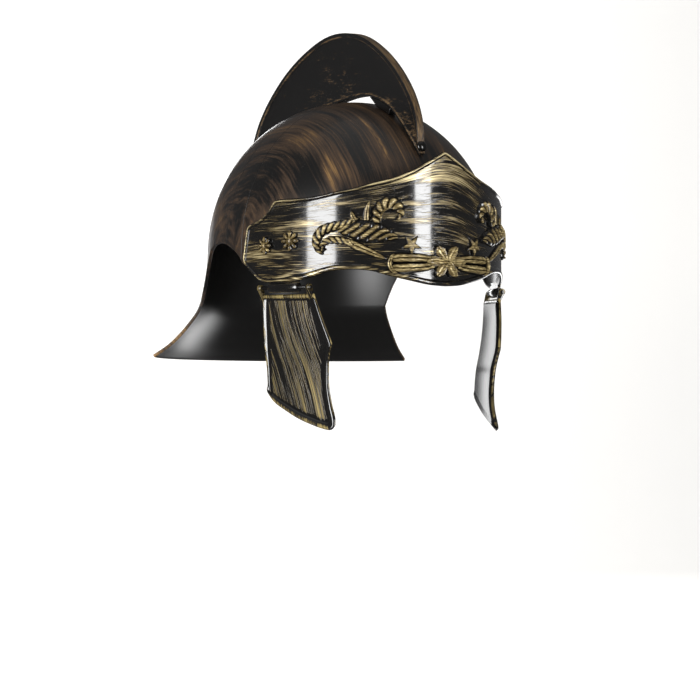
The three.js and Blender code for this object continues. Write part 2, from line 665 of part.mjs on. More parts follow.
// A point of the guard's plane from its share across (rear to front) and down (top to bottom)
function guardSpot(across, down) {
  const topRear = new THREE.Vector2(GUARD.rear, GUARD.top);
  const topFront = edgeSpot(GUARD_FRONT, 0);
  const bottomRear = edgeSpot(GUARD_BOTTOM, 0);
  const bottomFront = edgeSpot(GUARD_FRONT, 1);
  const top = topRear.clone().lerp(topFront, across);
  const bottom = edgeSpot(GUARD_BOTTOM, across);
  const rear = topRear.clone().lerp(bottomRear, down);
  const front = edgeSpot(GUARD_FRONT, down);
  const lowCorners = bottomRear.clone().lerp(bottomFront, across);
  const corners = topRear.clone().lerp(topFront, across).lerp(lowCorners, down);
  return top.lerp(bottom, down).add(rear.lerp(front, across)).sub(corners);
}

function makeGuardSheet(side) {
  const acrossShares = rimmedShares(GUARD.rim, GUARD.rimSlope, GUARD.width, GUARD.columns);
  const downShares = rimmedShares(GUARD.rim, GUARD.rimSlope, GUARD.length, GUARD.rows);
  const [columns, rows] = [acrossShares.length, downShares.length];
  const points = [];
  const raised = [];
  downShares.forEach((down, row) => acrossShares.forEach((across, column) => {
    const flat = guardSpot(across, down);
    const bow = lookUp(GUARD_BOW, 'height', flat.y, 'bow');
    const crown = GUARD.crown * (1 - (2 * across - 1) ** 2) * Math.min(1, down / GUARD.crownStart);
    points.push(hingeSpot(side, flat.x, bow + crown - GUARD.inset + GUARD.wall / 2, flat.y));
    raised.push(onRim(column, columns) || onRim(row, rows) ? GUARD.rimRise : 0);
  }));
  const faces = [];
  for (let row = 0; row < rows - 1; row++) {
    for (let column = 0; column < columns - 1; column++) {
      const a = row * columns + column;
      faces.push([a, a + columns, a + columns + 1, a + 1]);
    }
  }
  return toSolid(thicken(points, side > 0 ? faces.map((face) => [...face].reverse()) : faces,
    GUARD.wall, (i) => raised[i]));
}

function makeEar(side, from, to) {
  const arch = Array.from({ length: HINGE.earSides + 1 }, (_, i) => {
    const angle = Math.PI * i / HINGE.earSides;
    return [HINGE.ear * Math.cos(angle), HINGE.ear * Math.sin(angle)];
  });
  const foot = EAR_FOOT.map(({ out, height }) => [out - GUARD.inset, height]);
  return toSolid(hingeBar(side, from, to, [...arch, ...foot]));
}

function makeGuard(side) {
  const guard = makeGuardSheet(side)
    .add(makeEar(side, HINGE.earInner, HINGE.earOuter))
    .add(makeEar(side, -HINGE.earOuter, -HINGE.earInner));
  return toGeometry(guard.subtract(pinHole(side)));
}

// Assembly

const group = new THREE.Group();
group.position.z = -(BOWL.widest + BOWL.rise - BOWL.wall);

function addPiece(name, geometry, finish) {
  const mesh = new THREE.Mesh(geometry, finish);
  mesh.name = name;
  group.add(mesh);
}

let bowl = toSolid(makeBowl());
for (const hole of [...rivetHoles(), ...STUDS.map(studHole)]) bowl = bowl.subtract(hole);
addPiece('skull_bowl', toGeometry(bowl), finishes.bowl);
addPiece('brow_plate', makePlate(), finishes.plate);
addPiece('crest', makeCrest(), finishes.crest);
addPiece('crest_peg', makePeg(), finishes.crest);
for (const stud of STUDS) addPiece(`crest_stud_${stud.name}`, makeStud(stud), finishes.pin);
for (const [word, side] of [['left', 1], ['right', -1]]) {
  for (const rivet of RIVETS) {
    addPiece(`rosette_${word}_${rivet.name}`, makeRosette(side, rivet), finishes.rivet);
  }
  addPiece(`cheek_guard_${word}`, makeGuard(side), finishes.guard);
  const pinHalf = HINGE.earOuter + HINGE.pinEnd;
  const pin = hingeBar(side, -pinHalf, pinHalf, circle(HINGE.pin, HINGE.sides));
  addPiece(`hinge_pin_${word}`, pin, finishes.pin);
}

const helmet = new THREE.Group();
helmet.add(group);

export default helmet;
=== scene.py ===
import bisect
import math

import bpy
import numpy as np
from mathutils import Matrix, Vector


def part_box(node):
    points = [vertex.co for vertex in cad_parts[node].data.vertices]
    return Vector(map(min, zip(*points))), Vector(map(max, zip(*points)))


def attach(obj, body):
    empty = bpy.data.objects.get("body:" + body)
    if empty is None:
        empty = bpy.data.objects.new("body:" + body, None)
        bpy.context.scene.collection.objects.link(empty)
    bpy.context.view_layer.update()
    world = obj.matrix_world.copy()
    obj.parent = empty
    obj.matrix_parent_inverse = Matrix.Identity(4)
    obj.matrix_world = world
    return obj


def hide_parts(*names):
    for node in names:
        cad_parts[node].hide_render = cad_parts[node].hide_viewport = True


# Costume helmet of moulded black plastic, dry-brushed with gold paint.
# Sizes are in millimetres. Heights are measured up from the plate's lower edge, as the helmet is worn.

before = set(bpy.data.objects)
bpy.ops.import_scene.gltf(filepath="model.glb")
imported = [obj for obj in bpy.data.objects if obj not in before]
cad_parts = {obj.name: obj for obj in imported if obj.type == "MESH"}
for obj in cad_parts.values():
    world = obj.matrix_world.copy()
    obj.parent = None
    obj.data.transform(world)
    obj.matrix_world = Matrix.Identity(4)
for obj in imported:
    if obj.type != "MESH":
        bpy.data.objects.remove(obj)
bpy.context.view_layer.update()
mm = 0.001
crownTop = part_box("skull_bowl")[1].z / mm
bothSides = (("left", 1), ("right", -1))


# Small helpers for modelling

def pick(piece):
    bpy.ops.object.select_all(action="DESELECT")
    piece.select_set(True)
    bpy.context.view_layer.objects.active = piece


def named(name):  # names the primitive just added and moves its place into its mesh
    piece = bpy.context.object
    piece.name = piece.data.name = name
    bpy.ops.object.transform_apply(location=True, rotation=True, scale=True)
    return piece


def openMesh(piece, kind="FACE", chosen=None):  # edit mode, with all or the chosen parts selected
    pick(piece)
    bpy.ops.object.mode_set(mode="EDIT")
    bpy.ops.mesh.select_mode(type=kind)
    bpy.ops.mesh.select_all(action="DESELECT" if chosen else "SELECT")
    if chosen:
        bpy.ops.object.mode_set(mode="OBJECT")
        parts = {"FACE": piece.data.polygons, "EDGE": piece.data.edges, "VERT": piece.data.vertices}[kind]
        for part in parts:
            part.select = bool(chosen(part))
        bpy.ops.object.mode_set(mode="EDIT")


def closeMesh(facesOut=False):
    if facesOut:
        bpy.ops.mesh.select_all(action="SELECT")
        bpy.ops.mesh.normals_make_consistent(inside=False)
    bpy.ops.object.mode_set(mode="OBJECT")


def weld(piece, gap=0.02, openShell=False):  # merges corners that meet and turns the faces outwards
    openMesh(piece)
    bpy.ops.mesh.remove_doubles(threshold=gap * mm)
    if openShell:
        bpy.ops.mesh.flip_normals()
    closeMesh(not openShell)


def capEnds(piece, cap=bpy.ops.mesh.fill, facesOut=True):
    openMesh(piece, "EDGE")
    bpy.ops.mesh.select_all(action="DESELECT")
    bpy.ops.mesh.select_non_manifold()
    cap()
    closeMesh(facesOut)


def modify(piece, kind, **settings):
    pick(piece)
    modifier = piece.modifiers.new(kind.title(), kind)
    for setting, value in settings.items():
        setattr(modifier, setting, value)
    bpy.ops.object.modifier_apply(modifier=modifier.name)


def roundEdges(piece, width, segments=2, angle=50):
    modify(piece, "BEVEL", width=width * mm, segments=segments, limit_method="ANGLE",
           angle_limit=math.radians(angle))


def thicken(piece, wall, outside, inside, **settings):  # the inner side has a material of its own
    for material in (outside, inside):
        piece.data.materials.append(material)
    modify(piece, "SOLIDIFY", thickness=wall * mm, offset=-1, material_offset=1, material_offset_rim=0,
           **settings)


def reshape(piece, place):  # moves every corner to its place on a curved surface
    for vertex in piece.data.vertices:
        vertex.co = place(vertex.co)
    piece.data.update()


def flatSheet(name, columns, rows):  # a grid from (0, 0) to (1, 1)
    bpy.ops.mesh.primitive_grid_add(x_subdivisions=columns, y_subdivisions=rows, size=1,
                                    location=(0.5, 0.5, 0))
    return named(name)


def join(name, pieces):
    pick(pieces[0])
    for piece in pieces[1:]:
        piece.select_set(True)
    bpy.ops.object.join()
    pieces[0].name = pieces[0].data.name = name
    return pieces[0]


def mark(piece, attribute, kind, values):  # keeps numbers on the corners, which the paint follows
    made = piece.data.attributes.new(attribute, kind, "POINT")
    flat = np.ravel(np.array(values, np.float32))
    made.data.foreach_set("vector" if kind == "FLOAT_VECTOR" else "value", flat)


def markPaint(piece, lay, worn):  # lay: along the stroke, across it, depth, in mm; worn: extra paint
    corners = [vertex.co / mm for vertex in piece.data.vertices]
    mark(piece, "lay", "FLOAT_VECTOR", [lay(co) for co in corners])
    mark(piece, "worn", "FLOAT", [worn(co) for co in corners])


def ramp(value, low, high, weight=1):  # eased from 0 to the weight
    share = min(max((value - low) / (high - low), 0), 1)
    return weight * share * share * (3 - 2 * share)


def fade(value, start, end, weight=1):
    return weight - ramp(value, start, end, weight)


def band(value, start, full, end, clear):  # rises from 0 to 1 and falls back to 0
    return ramp(value, start, full) * fade(value, end, clear)


def hump(value, middle, half, weight=1):
    return weight * math.exp(-((value - middle) / half) ** 2)


# Values between a table's rows, by its first column, on a smooth curve or on straight lines
def readAlong(rows, key, smooth=True):
    keys = [row[0] for row in rows]
    key = min(max(key, keys[0]), keys[-1])
    i = min(max(bisect.bisect_right(keys, key) - 1, 0), len(rows) - 2)
    before, after = max(i - 1, 0), min(i + 2, len(rows) - 1)
    low, high, first, last = (np.array(rows[j][1:], float) for j in (i, i + 1, before, after))
    span = keys[i + 1] - keys[i]
    t = (key - keys[i]) / span
    if not smooth:
        return low + (high - low) * t
    startSlope = (high - first) / (keys[i + 1] - keys[before]) * span
    endSlope = (last - low) / (keys[after] - keys[i]) * span
    return ((2 * t ** 3 - 3 * t ** 2 + 1) * low + (t ** 3 - 2 * t ** 2 + t) * startSlope
            + (3 * t ** 2 - 2 * t ** 3) * high + (t ** 3 - t ** 2) * endSlope)


def finish(piece, materials=(), cadNodes=(), body="helmet", sharp=35):
    for material in materials:
        piece.data.materials.append(material)
    pick(piece)
    bpy.ops.object.shade_smooth_by_angle(angle=math.radians(sharp))
    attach(piece, body)
    if cadNodes:
        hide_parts(*cadNodes)


# Materials

def linearColour(code):  # sRGB hex to linear
    channels = [int(code[i:i + 2], 16) / 255 for i in (0, 2, 4)]
    return [*(c / 12.92 if c <= 0.04045 else ((c + 0.055) / 1.055) ** 2.4 for c in channels), 1]


def feed(node, inputs):  # a socket's name or number to a colour code, a value or another node's socket
    for socket, value in inputs.items():
        if isinstance(value, bpy.types.NodeSocket):
            node.id_data.links.new(value, node.inputs[socket])
        else:
            node.inputs[socket].default_value = linearColour(value) if isinstance(value, str) else value


def addNode(tree, kind, inputs=(), **settings):
    node = tree.nodes.new("ShaderNode" + kind)
    for setting, value in settings.items():
        setattr(node, setting, value)
    feed(node, dict(inputs))
    return node


def newMaterial(name):
    material = bpy.data.materials.new(name)
    material.use_nodes = True
    tree = material.node_tree
    return material, tree, tree.nodes["Principled BSDF"]


def maths(tree, operation, *values, kind="Math"):
    return addNode(tree, kind, enumerate(values), operation=operation).outputs[0]


def remap(tree, value, low, high, toLow=0, toHigh=1, shape="SMOOTHSTEP"):
    ranges = {"Value": value, "From Min": low, "From Max": high, "To Min": toLow, "To Max": toHigh}
    return addNode(tree, "MapRange", ranges, interpolation_type=shape).outputs["Result"]


def mixColours(tree, share, under, over):  # a Mix node's colours are its sockets 6 and 7
    return addNode(tree, "Mix", {0: share, 6: under, 7: over}, data_type="RGBA").outputs[2]


# Injection-moulded ABS, black all through: deep gloss with a faint softness from the mould
def mouldedBlack(name, roughness):
    material, _, shader = newMaterial(name)
    feed(shader, {"Base Color": "0b0a09", "Roughness": roughness, "IOR": 1.46})
    return material


# The same ABS with gold paint dragged over it by a nearly dry brush: its bristles leave parallel streaks,
# edges and raised relief take the most paint, and a clear varnish keeps the gloss over both
def dryBrushedAbs(name, look):
    material, tree, shader = newMaterial(name)
    lay = addNode(tree, "Attribute", attribute_name="lay").outputs["Vector"]
    worn = addNode(tree, "Attribute", attribute_name="worn").outputs["Fac"]
    drift = addNode(tree, "TexNoise", {"Vector": lay, "Scale": 1 / look["drift"], "Detail": 1})
    wander = maths(tree, "MULTIPLY", drift.outputs["Color"], (0, look["wander"], 0), kind="VectorMath")
    path = maths(tree, "ADD", lay, wander, kind="VectorMath")
    parts = []
    for word in ("bristle", "streak", "patch"):
        length, width, detail, weight = look[word]
        scaled = maths(tree, "MULTIPLY", path, (1 / length, 1 / width, 1 / length), kind="VectorMath")
        noise = addNode(tree, "TexNoise",
                        {"Vector": scaled, "Scale": 1, "Detail": detail, "Roughness": look["ragged"]})
        parts.append((noise.outputs["Fac"], weight))
    total = maths(tree, "MULTIPLY", *parts[0])
    for part, weight in (*parts[1:], (worn, look["wornWeight"])):
        total = maths(tree, "MULTIPLY_ADD", part, weight, total)
    low, high = look["cover"]
    amount = remap(tree, total, low, high)
    tone = remap(tree, total, high - look["toneEarly"], high + look["toneSpan"])
    colour = mixColours(tree, amount, look["black"], mixColours(tree, tone, look["gold"], look["pale"]))
    height = amount
    if "creases" in look:
        spot = addNode(tree, "TexCoord").outputs["Object"]
        across = addNode(tree, "SeparateXYZ", {0: spot}).outputs["Y"]
        for place in look["creases"]:
            away = maths(tree, "ABSOLUTE", maths(tree, "SUBTRACT", across, place * mm))
            crease = remap(tree, away, 0, look["creaseHalf"] * mm, 1, 0)
            # painted shade: each crease line is mixed towards a black darker than the plastic, as the shade
            # in the fold; the same mask also dips the bump
            colour = mixColours(tree, crease, colour, look["creaseShadeColour"])
            height = maths(tree, "MULTIPLY_ADD", crease, -look["creaseDepth"], height)
    bump = addNode(tree, "Bump", {"Height": height, "Strength": 1, "Distance": look["thickness"] * mm})
    feed(shader, {
        "Base Color": colour, "Roughness": remap(tree, amount, 0, 1, *look["roughness"], "LINEAR"),
        "Metallic": remap(tree, amount, 0, 1, 0, look["metallic"], "LINEAR"),
        "Normal": bump.outputs["Normal"], "IOR": 1.5,
        "Coat Weight": look["varnish"], "Coat Roughness": look["varnishRoughness"]})
    return material


# The brush leaves lines about a millimetre apart, gathered in bands and patches
brushing = {
    # the pale tone is lighter than the paint alone: on the brow plate's peak it partly stands for a painted
    # highlight
    "black": "0b0a09", "gold": "594b2c", "pale": "cdbd90", "toneEarly": 0.1, "toneSpan": 0.42,
    # noise along the strokes: length and width in mm, detail, weight
    "bristle": (17, 0.7, 3, 1.7), "streak": (40, 2, 2, 0.7), "patch": (60, 12, 2, 1.7),
    # cover: weighted sum at which the paint begins and is full
    "drift": 60, "wander": 5, "ragged": 0.6, "wornWeight": 0.5, "cover": (2.06, 2.3),
    "roughness": (0.12, 0.36), "metallic": 0.35, "thickness": 0.05, "varnish": 0.5, "varnishRoughness": 0.09,
}
blackAbs = mouldedBlack("moulded black ABS", 0.2)
innerAbs = mouldedBlack("moulded black ABS, inside of the bowl", 0.34)
plateAbs = dryBrushedAbs("dry-brushed ABS, brow plate", brushing)
leafAbs = dryBrushedAbs("dry-brushed ABS, raised leaves", {
    **brushing, "gold": "62522f", "pale": "c4b280", "bristle": (4, 0.8, 3, 2), "streak": (9, 2.4, 2, 0.7),
    "patch": (60, 12, 2, 1), "wornWeight": 1.8, "cover": (2.95, 3.6), "varnish": 0.2,
    "roughness": (0.2, 0.42)})
# the crease colour is painted shade along the bowl's two folds
bowlAbs = dryBrushedAbs("dry-brushed ABS, bowl", {
    **brushing, "gold": "3e2f22", "pale": "80623a", "toneSpan": 0.4, "bristle": (50, 0.9, 3, 1.2),
    "streak": (80, 4, 2, 0.7), "patch": (110, 20, 2, 1.6), "cover": (1.54, 2.02), "metallic": 0.15,
    "varnish": 0.1, "roughness": (0.34, 0.46), "creases": (13.5, -7), "creaseHalf": 0.6, "creaseDepth": 5,
    "creaseShadeColour": "050403"})
crestAbs = dryBrushedAbs("dry-brushed ABS, crest", {
    **brushing, "gold": "4a3a28", "pale": "7b6343", "bristle": (3.5, 0.9, 2, 1.2), "streak": (8, 1.8, 2, 0.7),
    "patch": (20, 9, 1, 0.9), "cover": (1.72, 1.98), "wornWeight": 0.8, "varnish": 0.1,
    "roughness": (0.34, 0.5)})
guardAbs = dryBrushedAbs("dry-brushed ABS, cheek guards", {
    **brushing, "gold": "4b4025", "pale": "a08e5a", "bristle": (60, 0.9, 3, 1.8), "streak": (80, 2.6, 2, 0.9),
    "patch": (100, 8, 1, 1.2), "cover": (1.8, 2.08)})
rivetAbs = dryBrushedAbs("dry-brushed ABS, rivets", {
    **brushing, "gold": "62522f", "pale": "b5a26f", "bristle": (1.6, 1, 2, 1.7), "patch": (60, 12, 2, 0.8),
    "wornWeight": 1.6, "cover": (2.75, 3.3), "varnish": 0.2})
print("materials ready")


# Skull bowl with ear arches and neck guard

bowl = {
    "front": 104.5, "back": 111.7, "side": 88.6, "widest": 22, "rise": 100, "fullness": 0.03, "wall": 2.2,
    "hem": -8, "hemSpread": 0.05, "frontColumns": 144, "napeColumns": 60, "rows": 44, "edgeRow": 1.2,
    # lower edge: angle in plan from the front, height
    "edge": [(0, 12.5), (30, 12.5), (60, 12.5), (84, 12.5), (88, 18.5), (93, 24), (98, 27.2), (104, 28.2),
        (110, 26.8), (116, 22.5), (121, 15), (125, 5), (128.5, -8)],
    # neck guard: share of the flare, distance out, distance down
    "neck": [(0, 0, 0), (0.14, 2.4, 6), (0.3, 6.8, 12.4), (0.5, 13, 20), (0.75, 21.5, 28.4), (1, 31.7, 35.4)],
    # paint on the neck guard: heights above its end between which it fades, weight
    "neckRows": 16, "rimPaint": (0.9286, 1.8571, 1.5), "flarePaint": (12, 38, 0.55),
    # heavy strokes: distance from the middle plane, half width, from and to along the bowl, weight
    "strokeRadius": 105, "strokeFade": (15, 25),
    "strokes": [(23.5, 1.2, 50, 125, 1.1), (30, 5, 60, 120, 0.2), (57, 1.6, 30, 88, 0.9),
        (50, 7, 45, 100, 0.2)],
}
level = crownTop - bowl["widest"] - bowl["rise"]  # from heights above the plate's edge to the frame
centre = level + bowl["widest"]
mmPerDegree = bowl["rise"] * math.pi / 180
archEnd = bowl["edge"][-1][0]


def turnAndReach(angle):
    turn = math.radians(angle)
    return turn, bowl["front"] if math.cos(turn) > 0 else bowl["back"]


def bowlSpot(angle, depth):
    turn, reach = turnAndReach(angle)
    if depth <= 90:
        share = math.sin(math.radians(depth)) ** (1 - bowl["fullness"] * (1 - math.cos(turn)))
        height = bowl["widest"] + bowl["rise"] * math.cos(math.radians(depth))
    else:
        fall = (depth - 90) * mmPerDegree
        share = 1 + bowl["hemSpread"] * (fall / (bowl["widest"] - bowl["hem"])) ** 1.5
        height = bowl["widest"] - fall
    x, y = bowl["side"] * share * math.sin(turn), -reach * share * math.cos(turn)
    return Vector((x, y, height + level)) * mm


def bowlDepth(height):
    above = height - bowl["widest"]
    return 90 - math.degrees(math.asin(above / bowl["rise"])) if above >= 0 else 90 - above / mmPerDegree


def planNormal(angle):
    turn, reach = turnAndReach(angle)
    return Vector((math.sin(turn) / bowl["side"], -math.cos(turn) / reach, 0)).normalized()


def columnAngle(share):
    step = share * (bowl["frontColumns"] + bowl["napeColumns"])
    if step <= bowl["frontColumns"]:
        return -archEnd + 2 * archEnd * step / bowl["frontColumns"]
    return archEnd + (360 - 2 * archEnd) * (step - bowl["frontColumns"]) / bowl["napeColumns"]


def domePlace(co):
    angle = columnAngle(co.x)
    turned = abs(angle if angle <= 180 else angle - 360)
    edge = bowlDepth(readAlong(bowl["edge"], turned)[0])
    fromEdge = round((1 - co.y) * bowl["rows"])
    close = 2 * bowl["edgeRow"] / mmPerDegree  # the last two rows stand close together along the edge
    if fromEdge <= 2:
        return bowlSpot(angle, edge - close * fromEdge / 2)
    return bowlSpot(angle, (edge - close) * co.y * bowl["rows"] / (bowl["rows"] - 2))


def neckPlace(co):
    angle = archEnd + (360 - 2 * archEnd) * co.x
    out, down = readAlong(bowl["neck"], co.y)
    hem = bowlSpot(angle, bowlDepth(bowl["hem"]))
    return hem + planNormal(angle) * out * mm - Vector((0, 0, down)) * mm


dome = flatSheet("skull_bowl_skin", bowl["frontColumns"] + bowl["napeColumns"], bowl["rows"])
reshape(dome, domePlace)
neck = flatSheet("neck guard", bowl["napeColumns"], bowl["neckRows"])
reshape(neck, neckPlace)
skull = join("skull_bowl_skin", [dome, neck])
weld(skull, openShell=True)
neckEdge = level + bowl["hem"] - bowl["neck"][-1][2]


def bowlLay(co):
    return math.atan2(co.z - centre, -co.y) * bowl["strokeRadius"], co.x, 0


def bowlWorn(co):  # the neck guard and its end, and single heavy strokes beside the crest
    along, above = bowlLay(co)[0], co.z - neckEdge
    fadeIn, fadeOut = bowl["strokeFade"]
    strokes = [hump(abs(co.x), across, width, weight) * band(along, low, low + fadeIn, high - fadeOut, high)
               for across, width, low, high, weight in bowl["strokes"]]
    return max(fade(above, *bowl["rimPaint"]), fade(above, *bowl["flarePaint"]), *strokes)


markPaint(skull, bowlLay, bowlWorn)
thicken(skull, bowl["wall"], bowlAbs, innerAbs, use_even_offset=True)
roundEdges(skull, 0.5)
finish(skull, (), ["skull_bowl"], sharp=50)
print("bowl done:", len(skull.data.polygons), "faces")


# Brow plate: modelled flat and upright, facing -Y, then bent on its ellipse in plan

plate = {
    "halfWidth": 91.5, "halfDepth": 111.5, "wall": 2, "rows": 16, "edgeCell": 4.6, "column": 3,
    # from the middle to the corner behind the brow: distance along and height of the lower and the upper edge
    "sweep": [(0, -2.6, 0, 83), (12, -1.8, 13, 75.6), (24, 0.6, 24, 69.8), (37, 3.4, 34, 65.7),
        (48, 6.5, 50, 61.7), (61, 7.8, 61, 58.8), (75, 6.8, 70.5, 57.2), (98, 1.2, 90, 53.6),
        (118.5, 0.2, 117, 52.8)],
    "end": [(118.5, 0.2, 117, 52.8), (125, 0.4, 122, 45.7), (131, 2, 129.4, 40.9), (139.4, 8.5, 136, 38.6),
        (146.8, 14, 141.8, 37.5)],
    # bead along the edge, from the outside in: width of each step and its lift
    "bead": [(0.3, 0.5), (0.3, 0.3), (0.35, 0.1), (0.35, -0.2), (0.3, -0.7), (0.3, -0.3), (0.4, 0.3)],
    # the lower bead is wider: by how much, heights over which it grows and goes, and where along it ends
    "lowerRoll": 1.6, "rollBand": (0, 2.2, 3, 10), "rollEnds": (96, 116),
    # strokes lean along the upper edge: slope, bluntness at the middle, heights over which that begins
    "lean": 0.5, "leanBlunt": 16, "rightLean": (26, 78), "leftLean": (0, 56), "leanTurn": (-10, 30),
    # extra paint round a middle (middle, half width, weight), or growing over a range (start, end, weight)
    # the extra paint on the peak brings in the pale tone, partly a painted highlight
    "peakAcross": (0, 26, 0.45), "peakHeight": (70, 13), "topAcross": (0, 42), "topHeight": (40, 60, 0.7),
    "endAlong": (137, 139, 0.9), "endHeight": (9, 15), "beadPaint": 0.35, "beadLift": (0.55, 0.9),
    # the left half is given less paint: painted shade for the side turned away from the main lights
    "groovePaint": (-0.22, -0.04, 1.6), "leftShade": (10, 60, 0.3),
}
ellipse = np.linspace(-math.pi / 2, math.pi / 2, 2001)
ellipseX, ellipseY = plate["halfWidth"] * np.cos(ellipse), plate["halfDepth"] * np.sin(ellipse)
ellipseLength = np.concatenate([[0], np.cumsum(np.hypot(np.diff(ellipseX), np.diff(ellipseY)))])


def bendOnPlate(co):  # x along the plate, -y out of its face, z up
    along, out = abs(co.x) / mm, -co.y / mm
    turn = np.interp(along, ellipseLength, ellipse)
    x, y = plate["halfWidth"] * math.cos(turn), plate["halfDepth"] * math.sin(turn)
    normal = Vector((math.cos(turn) / plate["halfWidth"], math.sin(turn) / plate["halfDepth"])).normalized()
    side = -1 if co.x < 0 else 1
    return Vector((side * (x + normal.x * out), y + normal.y * out, co.z / mm + level)) * mm


stations = [0]
for table in (plate["sweep"], plate["end"][:-1]):
    for low, high in zip(table, table[1:]):
        parts = max(1, round((high[0] - low[0]) / plate["column"]))
        stations += [low[0] + (high[0] - low[0]) * (part + 1) / parts for part in range(parts)]
stations.append(plate["end"][-1][0])
stations = [-station for station in stations[:0:-1]] + stations


def platePlace(co):
    station = stations[round(co.x * (len(stations) - 1))]
    away = abs(station)
    bottomHeight, top, topHeight = (readAlong(plate["sweep"], away) if away <= plate["end"][0][0]
                                    else readAlong(plate["end"], away, smooth=False))
    row, last = round(co.y * plate["rows"]), plate["rows"]
    cell = plate["edgeCell"] / (topHeight - bottomHeight)
    share = {0: 0, last: 1}.get(row, cell + (1 - 2 * cell) * (row - 1) / (last - 2))
    along, height = away + (top - away) * share, bottomHeight + (topHeight - bottomHeight) * share
    return Vector((-along if station < 0 else along, 0, height)) * mm


def plateLay(co):  # strokes along the plate, which follow its upper edge near the peak and on the left half
    right, left = (ramp(co.z, *plate[side]) for side in ("rightLean", "leftLean"))
    lean = plate["lean"] * (right + (left - right) * ramp(co.x, *plate["leanTurn"]))
    return co.x, co.z + math.hypot(co.x, plate["leanBlunt"]) * lean, 0


def plateWorn(co):  # most paint on the peak, where the pale tone is partly a painted highlight, on the bead above it and the upright ends; the left half is darker, painted shade for its side away from the main lights
    peak = hump(co.x, *plate["peakAcross"]) * hump(co.z, *plate["peakHeight"])
    top = hump(co.x, *plate["topAcross"]) * ramp(co.z, *plate["topHeight"])
    end = ramp(abs(co.x), *plate["endAlong"]) * ramp(co.z, *plate["endHeight"])
    bead = (plate["beadPaint"] + top + end) * ramp(-co.y, *plate["beadLift"])
    return max(bead, peak) - fade(-co.y, *plate["groovePaint"]) - ramp(co.x, *plate["leftShade"])


def rollWider(co):
    away = abs(co.x) / mm
    above = co.z / mm - readAlong(plate["sweep"], away)[0]
    wider = plate["lowerRoll"] * band(above, *plate["rollBand"]) * fade(away, *plate["rollEnds"])
    return co + Vector((0, 0, wider * mm))


brow = flatSheet("brow_plate_skin", len(stations) - 1, plate["rows"])
reshape(brow, platePlace)
openMesh(brow)
for width, lift in plate["bead"]:
    bpy.ops.mesh.inset(thickness=width * mm, depth=lift * mm, use_boundary=True, use_even_offset=False)
closeMesh()
modify(brow, "SUBSURF", levels=1, render_levels=1)
thicken(brow, plate["wall"], plateAbs, blackAbs)
roundEdges(brow, 0.3)
markPaint(brow, plateLay, plateWorn)
reshape(brow, rollWider)
reshape(brow, bendOnPlate)
weld(brow, 0.001)
finish(brow, (), ["brow_plate"])
print("plate done:", len(brow.data.polygons), "faces")


# Raised scroll leaves on the plate, one half, each on a spine of (along, height, width)

